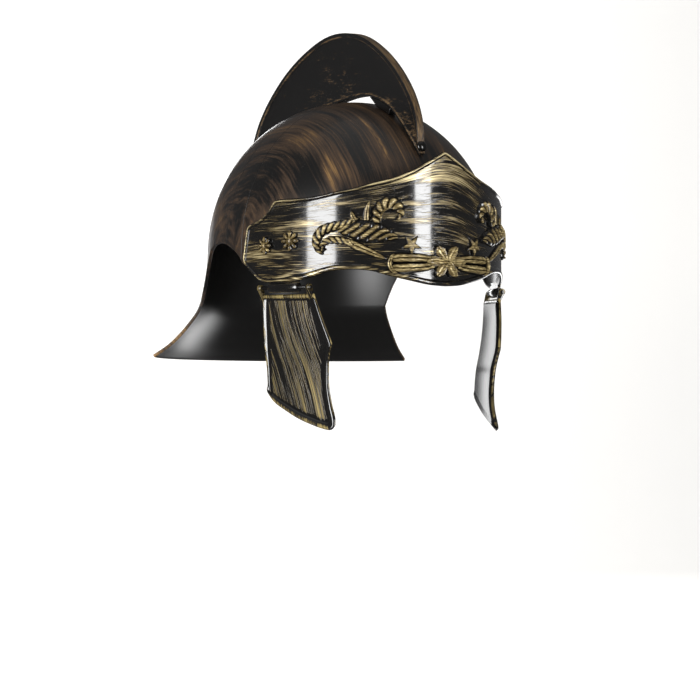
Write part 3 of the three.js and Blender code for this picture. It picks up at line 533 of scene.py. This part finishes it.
leaves = {
    "stationLength": 0.55, "crown": 12, "back": 4, "sink": 0.7, "roundness": 3.4, "highest": 0.92,
    # ends: distances over which a leaf swells, share of the width there; width at which it is fully raised
    "tip": (-0.35, 1.25), "tipWidth": 0.3, "fullWidth": 4, "paint": (0.15, 0.95),
    # lobes: roundness, how far their grooves cut in at the edge, and where long ones run out
    "lobePower": 0.4, "lobeDent": 0.16, "longLobe": 5, "lobeFade": (0.5, 0.95),
    # fine grooves along narrow and wide leaves: numbers, a wide leaf, depth, roundness, widths they need
    "ribs": (2, 4), "wideLeaf": 7, "ribDepth": 0.45, "ribPower": 0.5, "ribWidths": (1.5, 4),
    "pieces": [
        # rise, lobe spacing, slant of the lobes, depth of their grooves, spine
        (3.0, 4.4, 1.3, 0.75, [(80.2, 17, 1.5), (83.8, 20.6, 5), (85, 26, 7), (82, 31.4, 7.6),
            (75.5, 34.2, 7.2), (68.5, 35.6, 6.6), (61.5, 38, 4), (56, 39.6, 1.4)]),
        (2.6, 3.8, -1.2, 0.75, [(80.4, 18.4, 1.5), (80.8, 22.8, 4), (77, 26, 5.2), (70.5, 26.1, 5.6),
            (64, 24.9, 5), (58, 22.4, 3)]),
        (1.9, 0, 0, 0, [(67, 26, 3), (60, 23, 6), (52, 19.4, 5.4), (45, 16.2, 3.8), (37.9, 13.2, 0.6)]),
        (3.2, 6, 2.2, 0.75, [(71, 32, 4), (64, 32.6, 9.5), (56, 31.8, 13.5), (48, 30.8, 14), (41, 29.6, 10.5),
            (35, 28, 5.5), (31.5, 26.8, 1)]),
        (2.2, 0, 0, 0, [(58.4, 37, 4), (60.6, 41, 4), (62.4, 45.8, 0.5)]),
        (2.4, 0, 0, 0, [(52.2, 37.5, 4.6), (52, 43, 4.4), (51, 48, 2.8), (49.1, 51.4, 0.5)]),
        (3.2, 4.2, 0.8, 0.6, [(46, 36, 6), (45.8, 40, 7.6), (44.6, 45, 8.6), (40.8, 48.6, 9.6),
            (35.8, 49, 10), (31.8, 46.4, 8), (30.2, 42.6, 5.4), (31.8, 39.7, 3), (34.4, 40, 1.4)]),
        (3.6, 0, 0, 0, [(43.4, 36, 1.4), (43, 40.6, 2.2), (41, 44.4, 2.2), (37.4, 46, 1.6),
            (34.6, 45.4, 0.8)]),
        (2.8, 0, 0, 0, [(37, 14, 4), (32, 14.6, 6.8), (24, 14.8, 6.6), (16, 14.6, 6), (8, 13.6, 4.4)]),
        (2.8, 0, 0, 0, [(37, 8.6, 4), (32, 8.2, 6.6), (24, 8.4, 6.4), (16, 9, 6), (8, 10.4, 4.4)]),
        (3.5, 0, 0, 0, [(34, 15.4, 1), (26, 16.2, 2.2), (15, 15.6, 1.4)]),
        (3.5, 0, 0, 0, [(34.6, 10.2, 1), (26, 10.2, 2.2), (15, 10.8, 1.4)]),
        (4.0, 0, 0, 0, [(31.2, 4.6, 0.8), (35.4, 6, 2.8), (37.8, 10.8, 3.6), (36, 16, 2.6),
            (33.4, 17.2, 0.8)]),
    ],
    # rings of petals: middle, number, turn of the first, reach, squash in height, width, rise, groove, spine
    "star": ((23.6, 23), 5, -90, 7.6, 1, 5, 2.6, 0.1, ((-0.35, 0.8), (0.1, 0.95), (0.5, 0.56), (1, 0.06))),
    "flower": [((0, 12.8), 6, 0, 15, 0.78, 9, 4, 0.22), ((0, 12.8), 5, 90, 6, 0.78, 5.4, 5, 0.22)],
    "petal": ((-0.1, 0.5), (0.3, 0.8), (0.6, 1), (0.82, 0.62), (1, 0.06)),
}


def leafPiece(rise, spacing, slant, groove, spine):
    points = [(i, *row) for i, row in enumerate(spine)]
    keys = np.linspace(0, len(spine) - 1, 200)
    steps = [readAlong(points, key) for key in keys]
    lengths = np.concatenate([[0], np.cumsum([math.dist(a[:2], b[:2]) for a, b in zip(steps, steps[1:])])])
    whole, crown, back, tipWidth = lengths[-1], leaves["crown"], leaves["back"], leaves["tipWidth"]
    piece = flatSheet("leaf", max(8, round(whole / leaves["stationLength"])), crown + back)

    def place(co):
        key = np.interp(co.x * whole, lengths, keys)
        along, height, width = readAlong(points, key)
        ahead, behind = readAlong(points, key + 0.02), readAlong(points, key - 0.02)
        run = Vector((ahead - behind)[:2]).normalized()
        row = round(co.y * (crown + back))
        under = row > crown
        across = 0.5 - (row - crown) / back if under else row / crown - 0.5
        taper = ramp(min(co.x, 1 - co.x) * whole, *leaves["tip"])
        ridge, profile = 1, 1 - abs(2 * across) ** leaves["roundness"]
        if spacing:
            phase = co.x * whole / spacing + slant * across
            ridge = (0.5 - 0.5 * math.cos(2 * math.pi * phase)) ** leaves["lobePower"]
            if spacing > leaves["longLobe"]:
                ridge += (1 - ridge) * ramp(abs(2 * across), *leaves["lobeFade"])
            profile *= 1 - groove + groove * ridge
        else:
            ribs = leaves["ribs"][1 if width > leaves["wideLeaf"] else 0]
            dip = 1 - abs(math.sin(math.pi * ribs * (across + 0.5))) ** leaves["ribPower"]
            profile *= 1 - (groove or leaves["ribDepth"]) * dip * ramp(width, *leaves["ribWidths"])
        reach = across * width * (1 - leaves["lobeDent"] * (1 - ridge)) * (tipWidth + (1 - tipWidth) * taper)
        raised = rise * min(1, width / leaves["fullWidth"] + 0.25) * profile
        lift = taper * (-leaves["sink"] if under else raised)
        return Vector((along - run.y * reach, -lift, height + run.x * reach)) * mm

    reshape(piece, place)
    weld(piece, 0.03)
    capEnds(piece, bpy.ops.mesh.edge_face_add, False)
    markPaint(piece, lambda co: (co.x, co.z, 0),
              lambda co: ramp(-co.y / (rise * leaves["highest"]), *leaves["paint"]))
    return piece


def petalRing(middle, count, start, reach, squash, width, rise, groove, shares):
    ring = []
    for i in range(count):
        turn = math.radians(start + 360 * i / count)
        x, z = reach * math.cos(turn), reach * squash * math.sin(turn)
        spine = [(middle[0] + x * share, middle[1] + z * share, width * wide) for share, wide in shares]
        ring.append(leafPiece(rise, 0, 0, groove, spine))
    return ring


half = join("scroll_leaves", [leafPiece(*row) for row in leaves["pieces"]] + petalRing(*leaves["star"]))
pick(half)
bpy.ops.object.duplicate()
mirrorHalf = bpy.context.object
reshape(mirrorHalf, lambda co: Vector((-co.x, co.y, co.z)))
openMesh(mirrorHalf)
bpy.ops.mesh.flip_normals()
closeMesh()
flower = [petal for row in leaves["flower"] for petal in petalRing(*row, leaves["petal"])]
scrolls = join("scroll_leaves", [half, mirrorHalf, *flower])
reshape(scrolls, bendOnPlate)
finish(scrolls, [leafAbs])
print("leaves done:", len(scrolls.data.polygons), "faces")


# Rivets with flower heads, two on each side

rivets = {
    "places": [("front", 103.7, 26.3, 6.7), ("rear", 124.3, 23.8, 5.8)],
    "petals": 8, "rise": 2.9, "roundness": 0.55, "seat": 0.45, "shank": 1.3, "inside": 5.4,
    # between petals: cut into the outline, depth, sharpness, shares of the radius; dish round the button
    "paint": (0.8, 2.2), "notch": 0.26, "groove": 0.8, "grooveSharp": 0.7, "grooveStart": (0.3, 0.5),
    "dish": 0.3, "dishBand": (0.2, 0.34, 0.34, 0.6),
}
for word, side in bothSides:
    for name, along, height, radius in rivets["places"]:
        quarter = (math.pi / 2, 0, 0)
        bpy.ops.mesh.primitive_uv_sphere_add(segments=64, ring_count=24, radius=1, rotation=quarter)
        head = named("rivet head")

        def petalled(co):
            turn, away = math.atan2(co.z, co.x), math.hypot(co.x, co.z)
            petal = abs(math.cos(rivets["petals"] * turn / 2))
            outline = radius * away * (1 - rivets["notch"] * (1 - petal) * away)
            groove = rivets["groove"] * (1 - petal ** rivets["grooveSharp"])
            groove = 1 - groove * ramp(away, *rivets["grooveStart"])
            dish = 1 - rivets["dish"] * band(away, *rivets["dishBand"])
            raised = rivets["rise"] * max(0, -co.y) ** rivets["roundness"] * groove * dish
            lift = rivets["seat"] * (1 + min(0, -co.y)) + raised
            x, z = outline * math.cos(turn), outline * math.sin(turn)
            return Vector((side * along + x, -lift, height + z)) * mm

        reshape(head, petalled)
        bpy.ops.mesh.primitive_cylinder_add(
            vertices=24, radius=rivets["shank"] * mm, depth=(rivets["inside"] + 1) * mm,
            rotation=quarter, location=(side * along * mm, (rivets["inside"] - 1) / 2 * mm, height * mm))
        shank = named("rivet shank")
        rivet = join(f"rivet_{word}_{name}", [head, shank])
        markPaint(rivet, lambda co: (co.x, co.z, 0), lambda co: ramp(-co.y, *rivets["paint"]))
        reshape(rivet, bendOnPlate)
        weld(rivet, 0.001)
        finish(rivet, [rivetAbs], [f"rosette_{word}_{name}"])
print("rivets done")


# Crest: a fin on the middle plane, drawn by angle round the middle of the bowl's widest level

crest = {
    "stations": 110, "lipHalf": 3.1, "bodyHalf": 2.4, "slope": 0.9, "fullHeight": 9,
    # lines of the lip and the rim, by distance from the inner and outer edge
    "lip": (0, 0.6, 1.6), "rim": (2.6, 1.9, 0.7, 0),
    # angle from the front, gap to the bowl, outer radius, half width of the rim
    "outline": [(36, 0.6, 104.8, 2.3), (37.5, 0.6, 105.4, 2.4), (39, 0.6, 107.2, 2.5), (41, 0.7, 110.4, 2.6),
        (45, 0.9, 115.8, 2.8), (53, 2.6, 123.2, 3), (62, 5.2, 129.3, 3.3), (74, 5.4, 137.2, 3.4),
        (86, 3.2, 144.4, 3.4), (98, 1.4, 147.6, 3.4), (112, 1.2, 147.4, 3.4), (128, 1.2, 147.8, 3.4),
        (142, 1.2, 147.6, 3.4), (154, 1.2, 142, 3.4), (166, 1.2, 132.6, 3.3), (178, 1, 121.6, 3),
        (188, 0.9, 115.6, 2.6)],
    # extra paint in bands by distance from the outer and inner edge; flecks by middle, half width, weight
    "rimLine": (2, 2.4, 2.7, 3), "rimFace": (0.3, 0.8), "lipLine": (0.6, 1.1, 1.7, 2.2), "linePaint": 0.8,
    "fleckAngle": (100, 12, 0.72), "fleckRadius": (133, 8), "lowFlecks": (6, 5, 0.504),
    "rimStretch": (4, 1.3),  # strokes on the rim: longer, and closer together
}


def bowlRadius(angle):  # the bowl's outside in the middle plane
    plan = 0 if angle < 90 else 180
    shallow, deep = 0, bowlDepth(bowl["hem"])
    for _ in range(30):
        depth = (shallow + deep) / 2
        spot = bowlSpot(plan, depth) / mm
        if math.degrees(math.atan2(abs(spot.y), spot.z - centre)) < abs(angle - 90):
            shallow = depth
        else:
            deep = depth
    spot = bowlSpot(plan, deep) / mm
    return math.hypot(spot.y, spot.z - centre)


def sidePlace(angle, radius, across):
    turn = math.radians(angle)
    return Vector((across, -radius * math.cos(turn), centre + radius * math.sin(turn))) * mm


def crestEdges(angle):
    gap, outer, rimHalf = readAlong(crest["outline"], angle)
    return bowlRadius(angle) + gap, outer, rimHalf


firstAngle, lastAngle = crest["outline"][0][0], crest["outline"][-1][0]
sections = []
for i in range(crest["stations"] + 1):
    angle = firstAngle + (lastAngle - firstAngle) * i / crest["stations"]
    inner, outer, rimHalf = crestEdges(angle)
    shrink = min(1, (outer - inner) / crest["fullHeight"])
    lipHalf, bodyHalf = min(crest["lipHalf"], rimHalf), min(crest["bodyHalf"], rimHalf - 0.5)
    section = [(inner + step * shrink, lipHalf) for step in crest["lip"]]
    fromInner, fromOuter = (step + crest["slope"] for step in (crest["lip"][-1], crest["rim"][0]))
    section += [(inner + fromInner * shrink, bodyHalf), ((inner + outer) / 2, bodyHalf),
                (outer - fromOuter * shrink, bodyHalf)]
    section += [(outer - step * shrink, rimHalf) for step in crest["rim"]] + [(outer, rimHalf - 1)]
    section += [(radius, -across) for radius, across in reversed(section)]
    sections.append([sidePlace(angle, *point) for point in section + section[:1]])
around = len(sections[0]) - 1
fin = flatSheet("crest_fin", crest["stations"], around)
reshape(fin, lambda co: sections[round(co.x * crest["stations"])][round(co.y * around)])
weld(fin)
capEnds(fin)
roundEdges(fin, 0.4, 3, 28)


def crestSpot(co):  # angle and radius round the bowl's centre, and the crest's edges at that angle
    angle = math.degrees(math.atan2(co.z - centre, -co.y)) % 360
    return angle, math.hypot(co.y, co.z - centre), *crestEdges(min(max(angle, firstAngle), lastAngle))


def crestLay(co):  # strokes from front to back on the sides, and along the rim on its outer face
    angle, radius, inner, outer, rimHalf = crestSpot(co)
    if outer - radius > 1:
        return co.y, co.z, co.x
    along, across = crest["rimStretch"]
    return math.radians(angle) * outer / along, across * co.x, radius


def crestWorn(co):  # lines along the rim and the lip, the rim's outer face, and flecks on the sides
    angle, radius, inner, outer, rimHalf = crestSpot(co)
    across, fromOuter, fromInner = abs(co.x), outer - radius, radius - inner
    rimLine = band(fromOuter, *crest["rimLine"]) * ramp(across, rimHalf - 1, rimHalf - 0.3)
    rimFace = fade(fromOuter, *crest["rimFace"]) * fade(across, rimHalf - 0.5, rimHalf)
    lines = crest["linePaint"] * max(rimLine, rimFace, band(fromInner, *crest["lipLine"]))
    flecks = hump(angle, *crest["fleckAngle"]) * hump(radius, *crest["fleckRadius"])
    return max(lines, flecks, hump(fromInner, *crest["lowFlecks"]))


markPaint(fin, crestLay, crestWorn)
finish(fin, [crestAbs], ["crest"])
print("crest done:", len(fin.data.polygons), "faces")

peg = {"from": 61, "lowTo": 70, "highTo": 76, "halfWidth": 2.9, "gap": 0.2}
bpy.ops.mesh.primitive_cube_add(size=2)
lug = named("crest_lug")
openMesh(lug)
bpy.ops.mesh.subdivide(number_cuts=5)
closeMesh()


def pegPlace(co):
    to = peg["lowTo"] + (peg["highTo"] - peg["lowTo"]) * (co.z + 1) / 2
    angle = peg["from"] + (to - peg["from"]) * (co.y + 1) / 2
    low, high = bowlRadius(angle) + peg["gap"], crestEdges(angle)[0] - peg["gap"]
    return sidePlace(angle, low + (high - low) * (co.z + 1) / 2, co.x * peg["halfWidth"])


reshape(lug, pegPlace)
weld(lug, 0.001)
roundEdges(lug, 0.5, 3)
finish(lug, [blackAbs], ["crest_peg"])


# Turned pieces: a disc extruded and resized step by step along z, then laid along its axis
def turnedPiece(name, profile, sides, place):
    bpy.ops.mesh.primitive_circle_add(vertices=sides, radius=profile[0][0] * mm, fill_type="NGON",
                                      location=(0, 0, profile[0][1] * mm))
    piece = named(name)
    openMesh(piece)
    for (radius, height), (nextRadius, nextHeight) in zip(profile, profile[1:]):
        scale = nextRadius / radius
        step = (0, 0, (nextHeight - height) * mm)
        bpy.ops.mesh.extrude_region_move(TRANSFORM_OT_translate={"value": step})
        bpy.ops.transform.resize(value=(scale, scale, 1), center_override=(0, 0, nextHeight * mm))
    closeMesh(True)
    reshape(piece, lambda co: place @ co)
    return piece


studs = {
    "places": [("front", 38.2, 16), ("rear", 184, 201)],  # name, angle round the bowl, tilt of the axis
    "shank": 1.1, "head": 3.5, "foot": 3.29, "side": 1.05, "dome": 2.2, "seat": 0.45, "tail": 1.5,
}
for name, angle, tilt in studs["places"]:
    rim = crestEdges(angle)[1]
    tail = -(rim - bowlRadius(angle) + bowl["wall"] + studs["tail"])
    profile = [(studs["shank"], tail), (studs["shank"], studs["seat"]), (studs["foot"], studs["seat"])]
    for turn in map(math.radians, (0, 15, 30, 45, 60, 72, 82, 88)):
        profile.append((studs["head"] * math.cos(turn), studs["side"] + studs["dome"] * math.sin(turn)))
    axis = Vector((0, -math.cos(math.radians(tilt)), math.sin(math.radians(tilt))))
    turned = Vector((0, 0, 1)).rotation_difference(axis).to_matrix().to_4x4()
    place = Matrix.Translation(sidePlace(angle, rim, 0)) @ turned
    stud = turnedPiece(f"stud_{name}", profile, 40, place)
    finish(stud, [blackAbs], [f"crest_stud_{name}"])
print("crest fittings done")


# Cheek guard hinges: x forward along the pin, -y outwards, z up, about the middle of the pin

hinge = {
    "along": 81, "forward": 48.4, "height": -3.3, "turn": 21.5, "barrel": 3.1, "barrelHalf": 11.5,
    "pin": 1.25, "pinHalf": 21.4, "earInner": 18, "earOuter": 20.8, "ear": 2.2, "web": 2, "webRise": 6.8,
}


def hingeMatrix(side):
    turn = math.radians(hinge["turn"])
    forward = Vector((-side * math.sin(turn), -math.cos(turn), 0))
    inwards = Vector((-side * math.cos(turn), math.sin(turn), 0))
    middle = Vector((side * hinge["along"], -hinge["forward"], hinge["height"] + level)) * mm
    rows = Matrix((forward, inwards, Vector((0, 0, 1)))).transposed().to_4x4()
    return Matrix.Translation(middle) @ rows


def putOnHinge(piece, side):
    place = hingeMatrix(side)
    reshape(piece, lambda co: place @ co)
    openMesh(piece)
    closeMesh(True)


def barAlongPin(name, radius, low, high, sides=32):
    bpy.ops.mesh.primitive_cylinder_add(vertices=sides, radius=radius * mm, depth=(high - low) * mm,
                                        location=((low + high) / 2 * mm, 0, 0), rotation=(0, math.pi / 2, 0))
    return named(name)


def block(name, low, high):  # a box between two corners
    middle = [(a + b) / 2 * mm for a, b in zip(low, high)]
    bpy.ops.mesh.primitive_cube_add(size=1, location=middle)
    bpy.context.object.scale = [(b - a) * mm for a, b in zip(low, high)]
    return named(name)


for word, side in bothSides:
    half = hinge["barrelHalf"]
    barrel = barAlongPin("hinge barrel", hinge["barrel"], -half, half)
    roundEdges(barrel, 0.35)
    web = block("hinge web", (-half, -hinge["web"] / 2, 0), (half, hinge["web"] / 2, hinge["webRise"]))
    knuckle = join(f"hinge_barrel_{word}", [barrel, web])
    markPaint(knuckle, lambda co: (co.x, co.z, co.y), lambda co: 0)
    putOnHinge(knuckle, side)
    finish(knuckle, [plateAbs])
    pin = barAlongPin(f"hinge_rod_{word}", hinge["pin"], -hinge["pinHalf"], hinge["pinHalf"], 24)
    roundEdges(pin, 0.3)
    putOnHinge(pin, side)
    finish(pin, [blackAbs], [f"hinge_pin_{word}"])
print("hinges done")


# Cheek guards: modelled flat and upright in the hinge's place, then bowed in towards the cheek

guard = {
    "wall": 2, "crown": 0.9, "inset": 3.2, "top": -4.2, "rear": -19.6, "front": 22, "foot": -91,
    "width": 48, "length": 78, "cell": 2.4, "corner": 0.4,
    # front edge: share down, forward, height; straight as far as its corner, then a hollow curve
    "frontEdge": [(0, 22, -4.2), (0.4, 34.4, -36)],
    "frontCurve": [(0.4, 34.4, -36), (0.46, 32.2, -41), (0.54, 30.4, -48), (0.7, 29.4, -62),
        (0.85, 31.8, -75), (0.94, 34.8, -83), (1, 35.4, -87.6)],
    # lower edge: share across, forward, height
    "lowerEdge": [(0, -19.6, -62), (0.04, -19.2, -65.6), (0.09, -17.6, -69.6), (0.17, -13.2, -73.6),
        (0.27, -7.6, -76.8), (0.5, 5.4, -83.2), (0.75, 19.4, -88.2), (0.88, 27.4, -90.4), (0.94, 31.2, -90.9),
        (0.975, 33.8, -90), (1, 35.4, -87.6)],
    # bow by height, inwards negative
    "bow": [(-91, -4.3), (-76, -6.2), (-64, -6.2), (-51, -5.2), (-38, -2.9), (-20, -0.9), (0, 0)],
    # rolled edge: distance from the edge, lift; a single slope at the rear, and narrower at the front
    "bead": [(0, 0), (0.25, 0.6), (0.6, 1), (1.1, 1.25), (1.7, 1.25), (2.2, 1.05), (2.7, 0.65), (3.2, 0.25),
        (3.7, 0.06), (4.3, 0)],
    "rearLift": [(0, 0), (0.25, 0.4), (0.6, 0.63), (1, 0.69), (1.2, 0.66), (3.4, 0), (4.3, 0)],
    "rearTurn": (-0.5, 3), "frontShare": 0.8,
    # groove above the lower edge, and where it runs out at the sides
    "groove": (3.6, 4.4, 5.4, 6.4), "grooveEnds": (2, 5), "grooveDepth": 0.7,
    # strokes lean forward as they run down: by how much, over what length, and how late
    "strokeLean": (26, 90, 1.2),
    # extra paint by distance from each edge, in bands or fading out; the front's dark band narrows downwards
    "ledge": (2.4, 3), "lip": (2, 2.6), "lipEnds": (1.5, 4), "ledgePaint": 0.5, "lipPaint": 0.35,
    "frontPaint": (0.3, 0.9, 0.9), "rearPaint": (0.5, 1.1, 0.45), "frontNarrows": (20, 56, 3),
    "dark": 1.4, "darkFront": (-0.6, 1, 6, 7.6), "darkRear": (2.4, 3, 6, 6.6),
    "darkLow": (2.6, 3.2, 5.6, 6.2), "darkTop": (2.4, 3, 3.6, 4.2), "topDark": 0.6,
    # ears: legs from the guard's face up to the pin, and thickness outwards and inwards of the face
    "legFoot": -7.6, "legOut": 1.6, "legIn": 0.6, "earPaint": 0.15,
}


def edgeShares(length, last=1):  # close together in the rolled edges, and a cell apart between them
    near = [distance / length for distance, lift in guard["bead"]]
    far = [1 - distance * last / length for distance, lift in reversed(guard["bead"])]
    count = round((far[0] - near[-1]) * length / guard["cell"])
    return near + [near[-1] + (far[0] - near[-1]) * i / count for i in range(1, count)] + far


guardColumns, guardRows = edgeShares(guard["width"], guard["frontShare"]), edgeShares(guard["length"])
guardRows[np.argmin([abs(row - guard["corner"]) for row in guardRows])] = guard["corner"]


def guardShares(co):  # share across from the rear, share down
    return (guardColumns[round(co.x * (len(guardColumns) - 1))],
            guardRows[round((1 - co.y) * (len(guardRows) - 1))])


def guardEdges(co):  # distances in mm from the rear, front, top and lower edges
    across, down = guardShares(co)
    return (across * guard["width"], (1 - across) * guard["width"],
            down * guard["length"], (1 - down) * guard["length"])


def guardLift(co):
    rear, front, top, low = guardEdges(co)
    front /= guard["frontShare"]
    distance = min(rear, front, top, low)
    rearLead = ramp(min(front, top, low) - rear, *guard["rearTurn"])
    lift, rearLift = (readAlong(guard[table], distance, smooth=False)[0] for table in ("bead", "rearLift"))
    groove = band(low, *guard["groove"]) * ramp(min(rear, front), *guard["grooveEnds"])
    return lift + (rearLift - lift) * rearLead - guard["grooveDepth"] * groove


def guardFront(down):
    if down <= guard["corner"]:
        return Vector(readAlong(guard["frontEdge"], down, smooth=False))
    return Vector(readAlong(guard["frontCurve"], down))


def guardPlace(co):
    across, down = guardShares(co)
    topRear, topFront = Vector((guard["rear"], guard["top"])), Vector((guard["front"], guard["top"]))
    lowRear, lowFront = (Vector(guard["lowerEdge"][i][1:]) for i in (0, -1))
    top, low = topRear.lerp(topFront, across), Vector(readAlong(guard["lowerEdge"], across))
    rear, front = topRear.lerp(lowRear, down), guardFront(down)
    spot = top.lerp(low, down) + rear.lerp(front, across) - top.lerp(lowRear.lerp(lowFront, across), down)
    return Vector((spot.x, -guardLift(co), spot.y)) * mm


def guardWorn(co):  # paint on the top ledge and the lower lip, hardly any beside the rolled edges
    rear, front, top, low = guardEdges(co)
    ledge = fade(top, *guard["ledge"])
    lip = fade(low, *guard["lip"]) * ramp(min(rear, front), *guard["lipEnds"])
    narrower = ramp(top, *guard["frontNarrows"])
    start, full, end, clear = guard["darkFront"]
    dark = max(band(rear, *guard["darkRear"]), band(front, start, full, end - narrower, clear - narrower),
               band(low, *guard["darkLow"]), guard["topDark"] * band(top, *guard["darkTop"]))
    bright = max(guard["ledgePaint"] * ledge, guard["lipPaint"] * lip,
                 fade(front, *guard["frontPaint"]), fade(rear, *guard["rearPaint"]))
    return bright - guard["dark"] * dark * (1 - max(ledge, lip))


def guardBow(co):
    x, out, z = co.x / mm, -co.y / mm, co.z / mm
    down = (guard["top"] - z) / (guard["top"] - guard["foot"])
    across = (x - guard["rear"]) / (guardFront(min(max(down, 0), 1)).x - guard["rear"])
    crown = guard["crown"] * (1 - min(1, abs(2 * across - 1)) ** 2) * min(1, max(0, down) * 6)
    bow = readAlong(guard["bow"], z)[0]
    return Vector((x, -(out + bow + crown - guard["inset"] + guard["wall"] / 2), z)) * mm


def guardLay(co):
    lean, length, late = guard["strokeLean"]
    return co.z, co.x - lean * (max(0, -co.z) / length) ** late, 0


for word, side in bothSides:
    cheek = flatSheet("cheek guard", len(guardColumns) - 1, len(guardRows) - 1)
    mark(cheek, "worn", "FLOAT", [guardWorn(vertex.co) for vertex in cheek.data.vertices])
    reshape(cheek, guardPlace)
    mark(cheek, "lay", "FLOAT_VECTOR", [guardLay(vertex.co / mm) for vertex in cheek.data.vertices])
    thicken(cheek, guard["wall"], guardAbs, blackAbs)
    roundEdges(cheek, 0.3)
    reshape(cheek, guardBow)
    ears = []
    for low, high in ((hinge["earInner"], hinge["earOuter"]), (-hinge["earOuter"], -hinge["earInner"])):
        knob = barAlongPin("ear", hinge["ear"], low, high)
        leg = block("ear leg", (low, -hinge["ear"], guard["legFoot"]), (high, hinge["ear"], 0))

        def narrowed(co):
            if co.z > -1 * mm:
                return co
            face = guard["legIn"] if co.y > 0 else -guard["legOut"]
            return Vector((co.x, (guard["inset"] + face) * mm, co.z))

        reshape(leg, narrowed)
        ears += [knob, leg]
    ear = join("ears", ears)
    roundEdges(ear, 0.4)
    markPaint(ear, guardLay, lambda co: guard["earPaint"])
    ear.data.materials.append(guardAbs)
    cheek = join(f"cheek_{word}", [cheek, ear])
    putOnHinge(cheek, side)
    finish(cheek, (), [f"cheek_guard_{word}"], f"guard_{word}")
print("cheek guards done")


# Studio: pale floor that sweeps up behind, two tall soft boxes in front, weak lights behind and overhead

studio = {
    "floor": -520, "width": 14000, "wall": 5000, "sweep": 900, "floorColour": "e9e8e6",
    # soft boxes: azimuth, distance, width, height, middle height, power in watts
    "boxes": [(-75, 1700, 620, 1400, -100, 40), (8, 1700, 460, 1300, -100, 30),
        (166, 2000, 320, 800, -250, 2), (156, 2000, 160, 400, 330, 1.6), (122, 1800, 900, 800, -850, 9)],
    # overhead: height, size, power
    "overhead": (1500, 1600, 2.6), "paperGlow": 0.3,
    # light on the paper: place, what it faces, size, power
    "backdrop": ((0, 2200, 2600), (0, 7000, 300), (5000, 1500), 520),
    # surroundings: colour, strength as the camera sees them and as they light the helmet
    "world": "f2f2f4", "worldSeen": 0.9, "worldLight": 0.14,
}
bpy.ops.mesh.primitive_plane_add(size=studio["width"] * mm, location=(0, 0, studio["floor"] * mm))
floor = named("studio_floor")
openMesh(floor, "EDGE", lambda edge: all(floor.data.vertices[i].co.y > 1 for i in edge.vertices))
bpy.ops.mesh.extrude_region_move(TRANSFORM_OT_translate={"value": (0, 0, studio["wall"] * mm)})
closeMesh()
openMesh(floor, "EDGE", lambda edge: all(floor.data.vertices[i].co.y > 1 and floor.data.vertices[i].co.z < 0
                                         for i in edge.vertices))
bpy.ops.mesh.bevel(offset=studio["sweep"] * mm, segments=16)
closeMesh()
paper, tree, shader = newMaterial("matt studio paper")
feed(shader, {"Base Color": studio["floorColour"], "Roughness": 0.9,
              "Emission Color": studio["floorColour"], "Emission Strength": studio["paperGlow"]})
floor.data.materials.append(paper)
pick(floor)
bpy.ops.object.shade_smooth()
floor.visible_glossy = False  # the plastic reflects a darker room than the paper that the camera sees


scene = bpy.context.scene


def areaLight(name, place, towards, width, height, power):
    light = bpy.data.lights.new(name, "AREA")
    light.shape, light.size, light.size_y, light.energy = "RECTANGLE", width * mm, height * mm, power
    lamp = bpy.data.objects.new(name, light)
    scene.collection.objects.link(lamp)
    lamp.location = place
    lamp.rotation_euler = (towards - place).to_track_quat("-Z", "Y").to_euler()
    lamp.visible_camera = False


for i, (azimuth, distance, width, height, middle, power) in enumerate(studio["boxes"]):
    turn = math.radians(azimuth)
    place = Vector((math.sin(turn) * distance, -math.cos(turn) * distance, middle)) * mm
    areaLight(f"soft_box_{i + 1}", place, Vector((0, 0, place.z)), width, height, power)
height, size, power = studio["overhead"]
areaLight("overhead", Vector((0, 0, height)) * mm, Vector(), size, size, power)

place, faces, size, power = studio["backdrop"]
areaLight("backdrop_light", Vector(place) * mm, Vector(faces) * mm, *size, power)

world = bpy.data.worlds.new("studio")
world.use_nodes = True
tree = world.node_tree
seen = addNode(tree, "LightPath").outputs["Is Camera Ray"]
strength = remap(tree, seen, 0, 1, studio["worldLight"], studio["worldSeen"], "LINEAR")
feed(tree.nodes["Background"], {"Color": studio["world"], "Strength": strength})
scene.world, scene.view_settings.view_transform = world, "Standard"

camera = {
    "azimuth": -32, "elevation": -1.5, "distance": 2700, "scale": 1.52, "aim": (-1.3, -40.8), "pixels": 700,
}
azimuth, elevation = math.radians(camera["azimuth"]), math.radians(camera["elevation"])
right = Vector((math.cos(azimuth), math.sin(azimuth), 0))
back = Vector((math.sin(azimuth) * math.cos(elevation), -math.cos(azimuth) * math.cos(elevation),
               math.sin(elevation)))
up = back.cross(right)
aim = (right * camera["aim"][0] + up * camera["aim"][1] + Vector((0, 0, level))) * mm
lens = bpy.data.cameras.new("camera")
lens.sensor_width = 36
lens.lens = camera["scale"] * camera["distance"] * lens.sensor_width / camera["pixels"]
view = bpy.data.objects.new("camera", lens)
scene.collection.objects.link(view)
view.matrix_world = Matrix.Translation(aim + back * camera["distance"] * mm) @ Matrix(
    (right, up, back)).transposed().to_4x4()
scene.camera = view
print("studio ready")
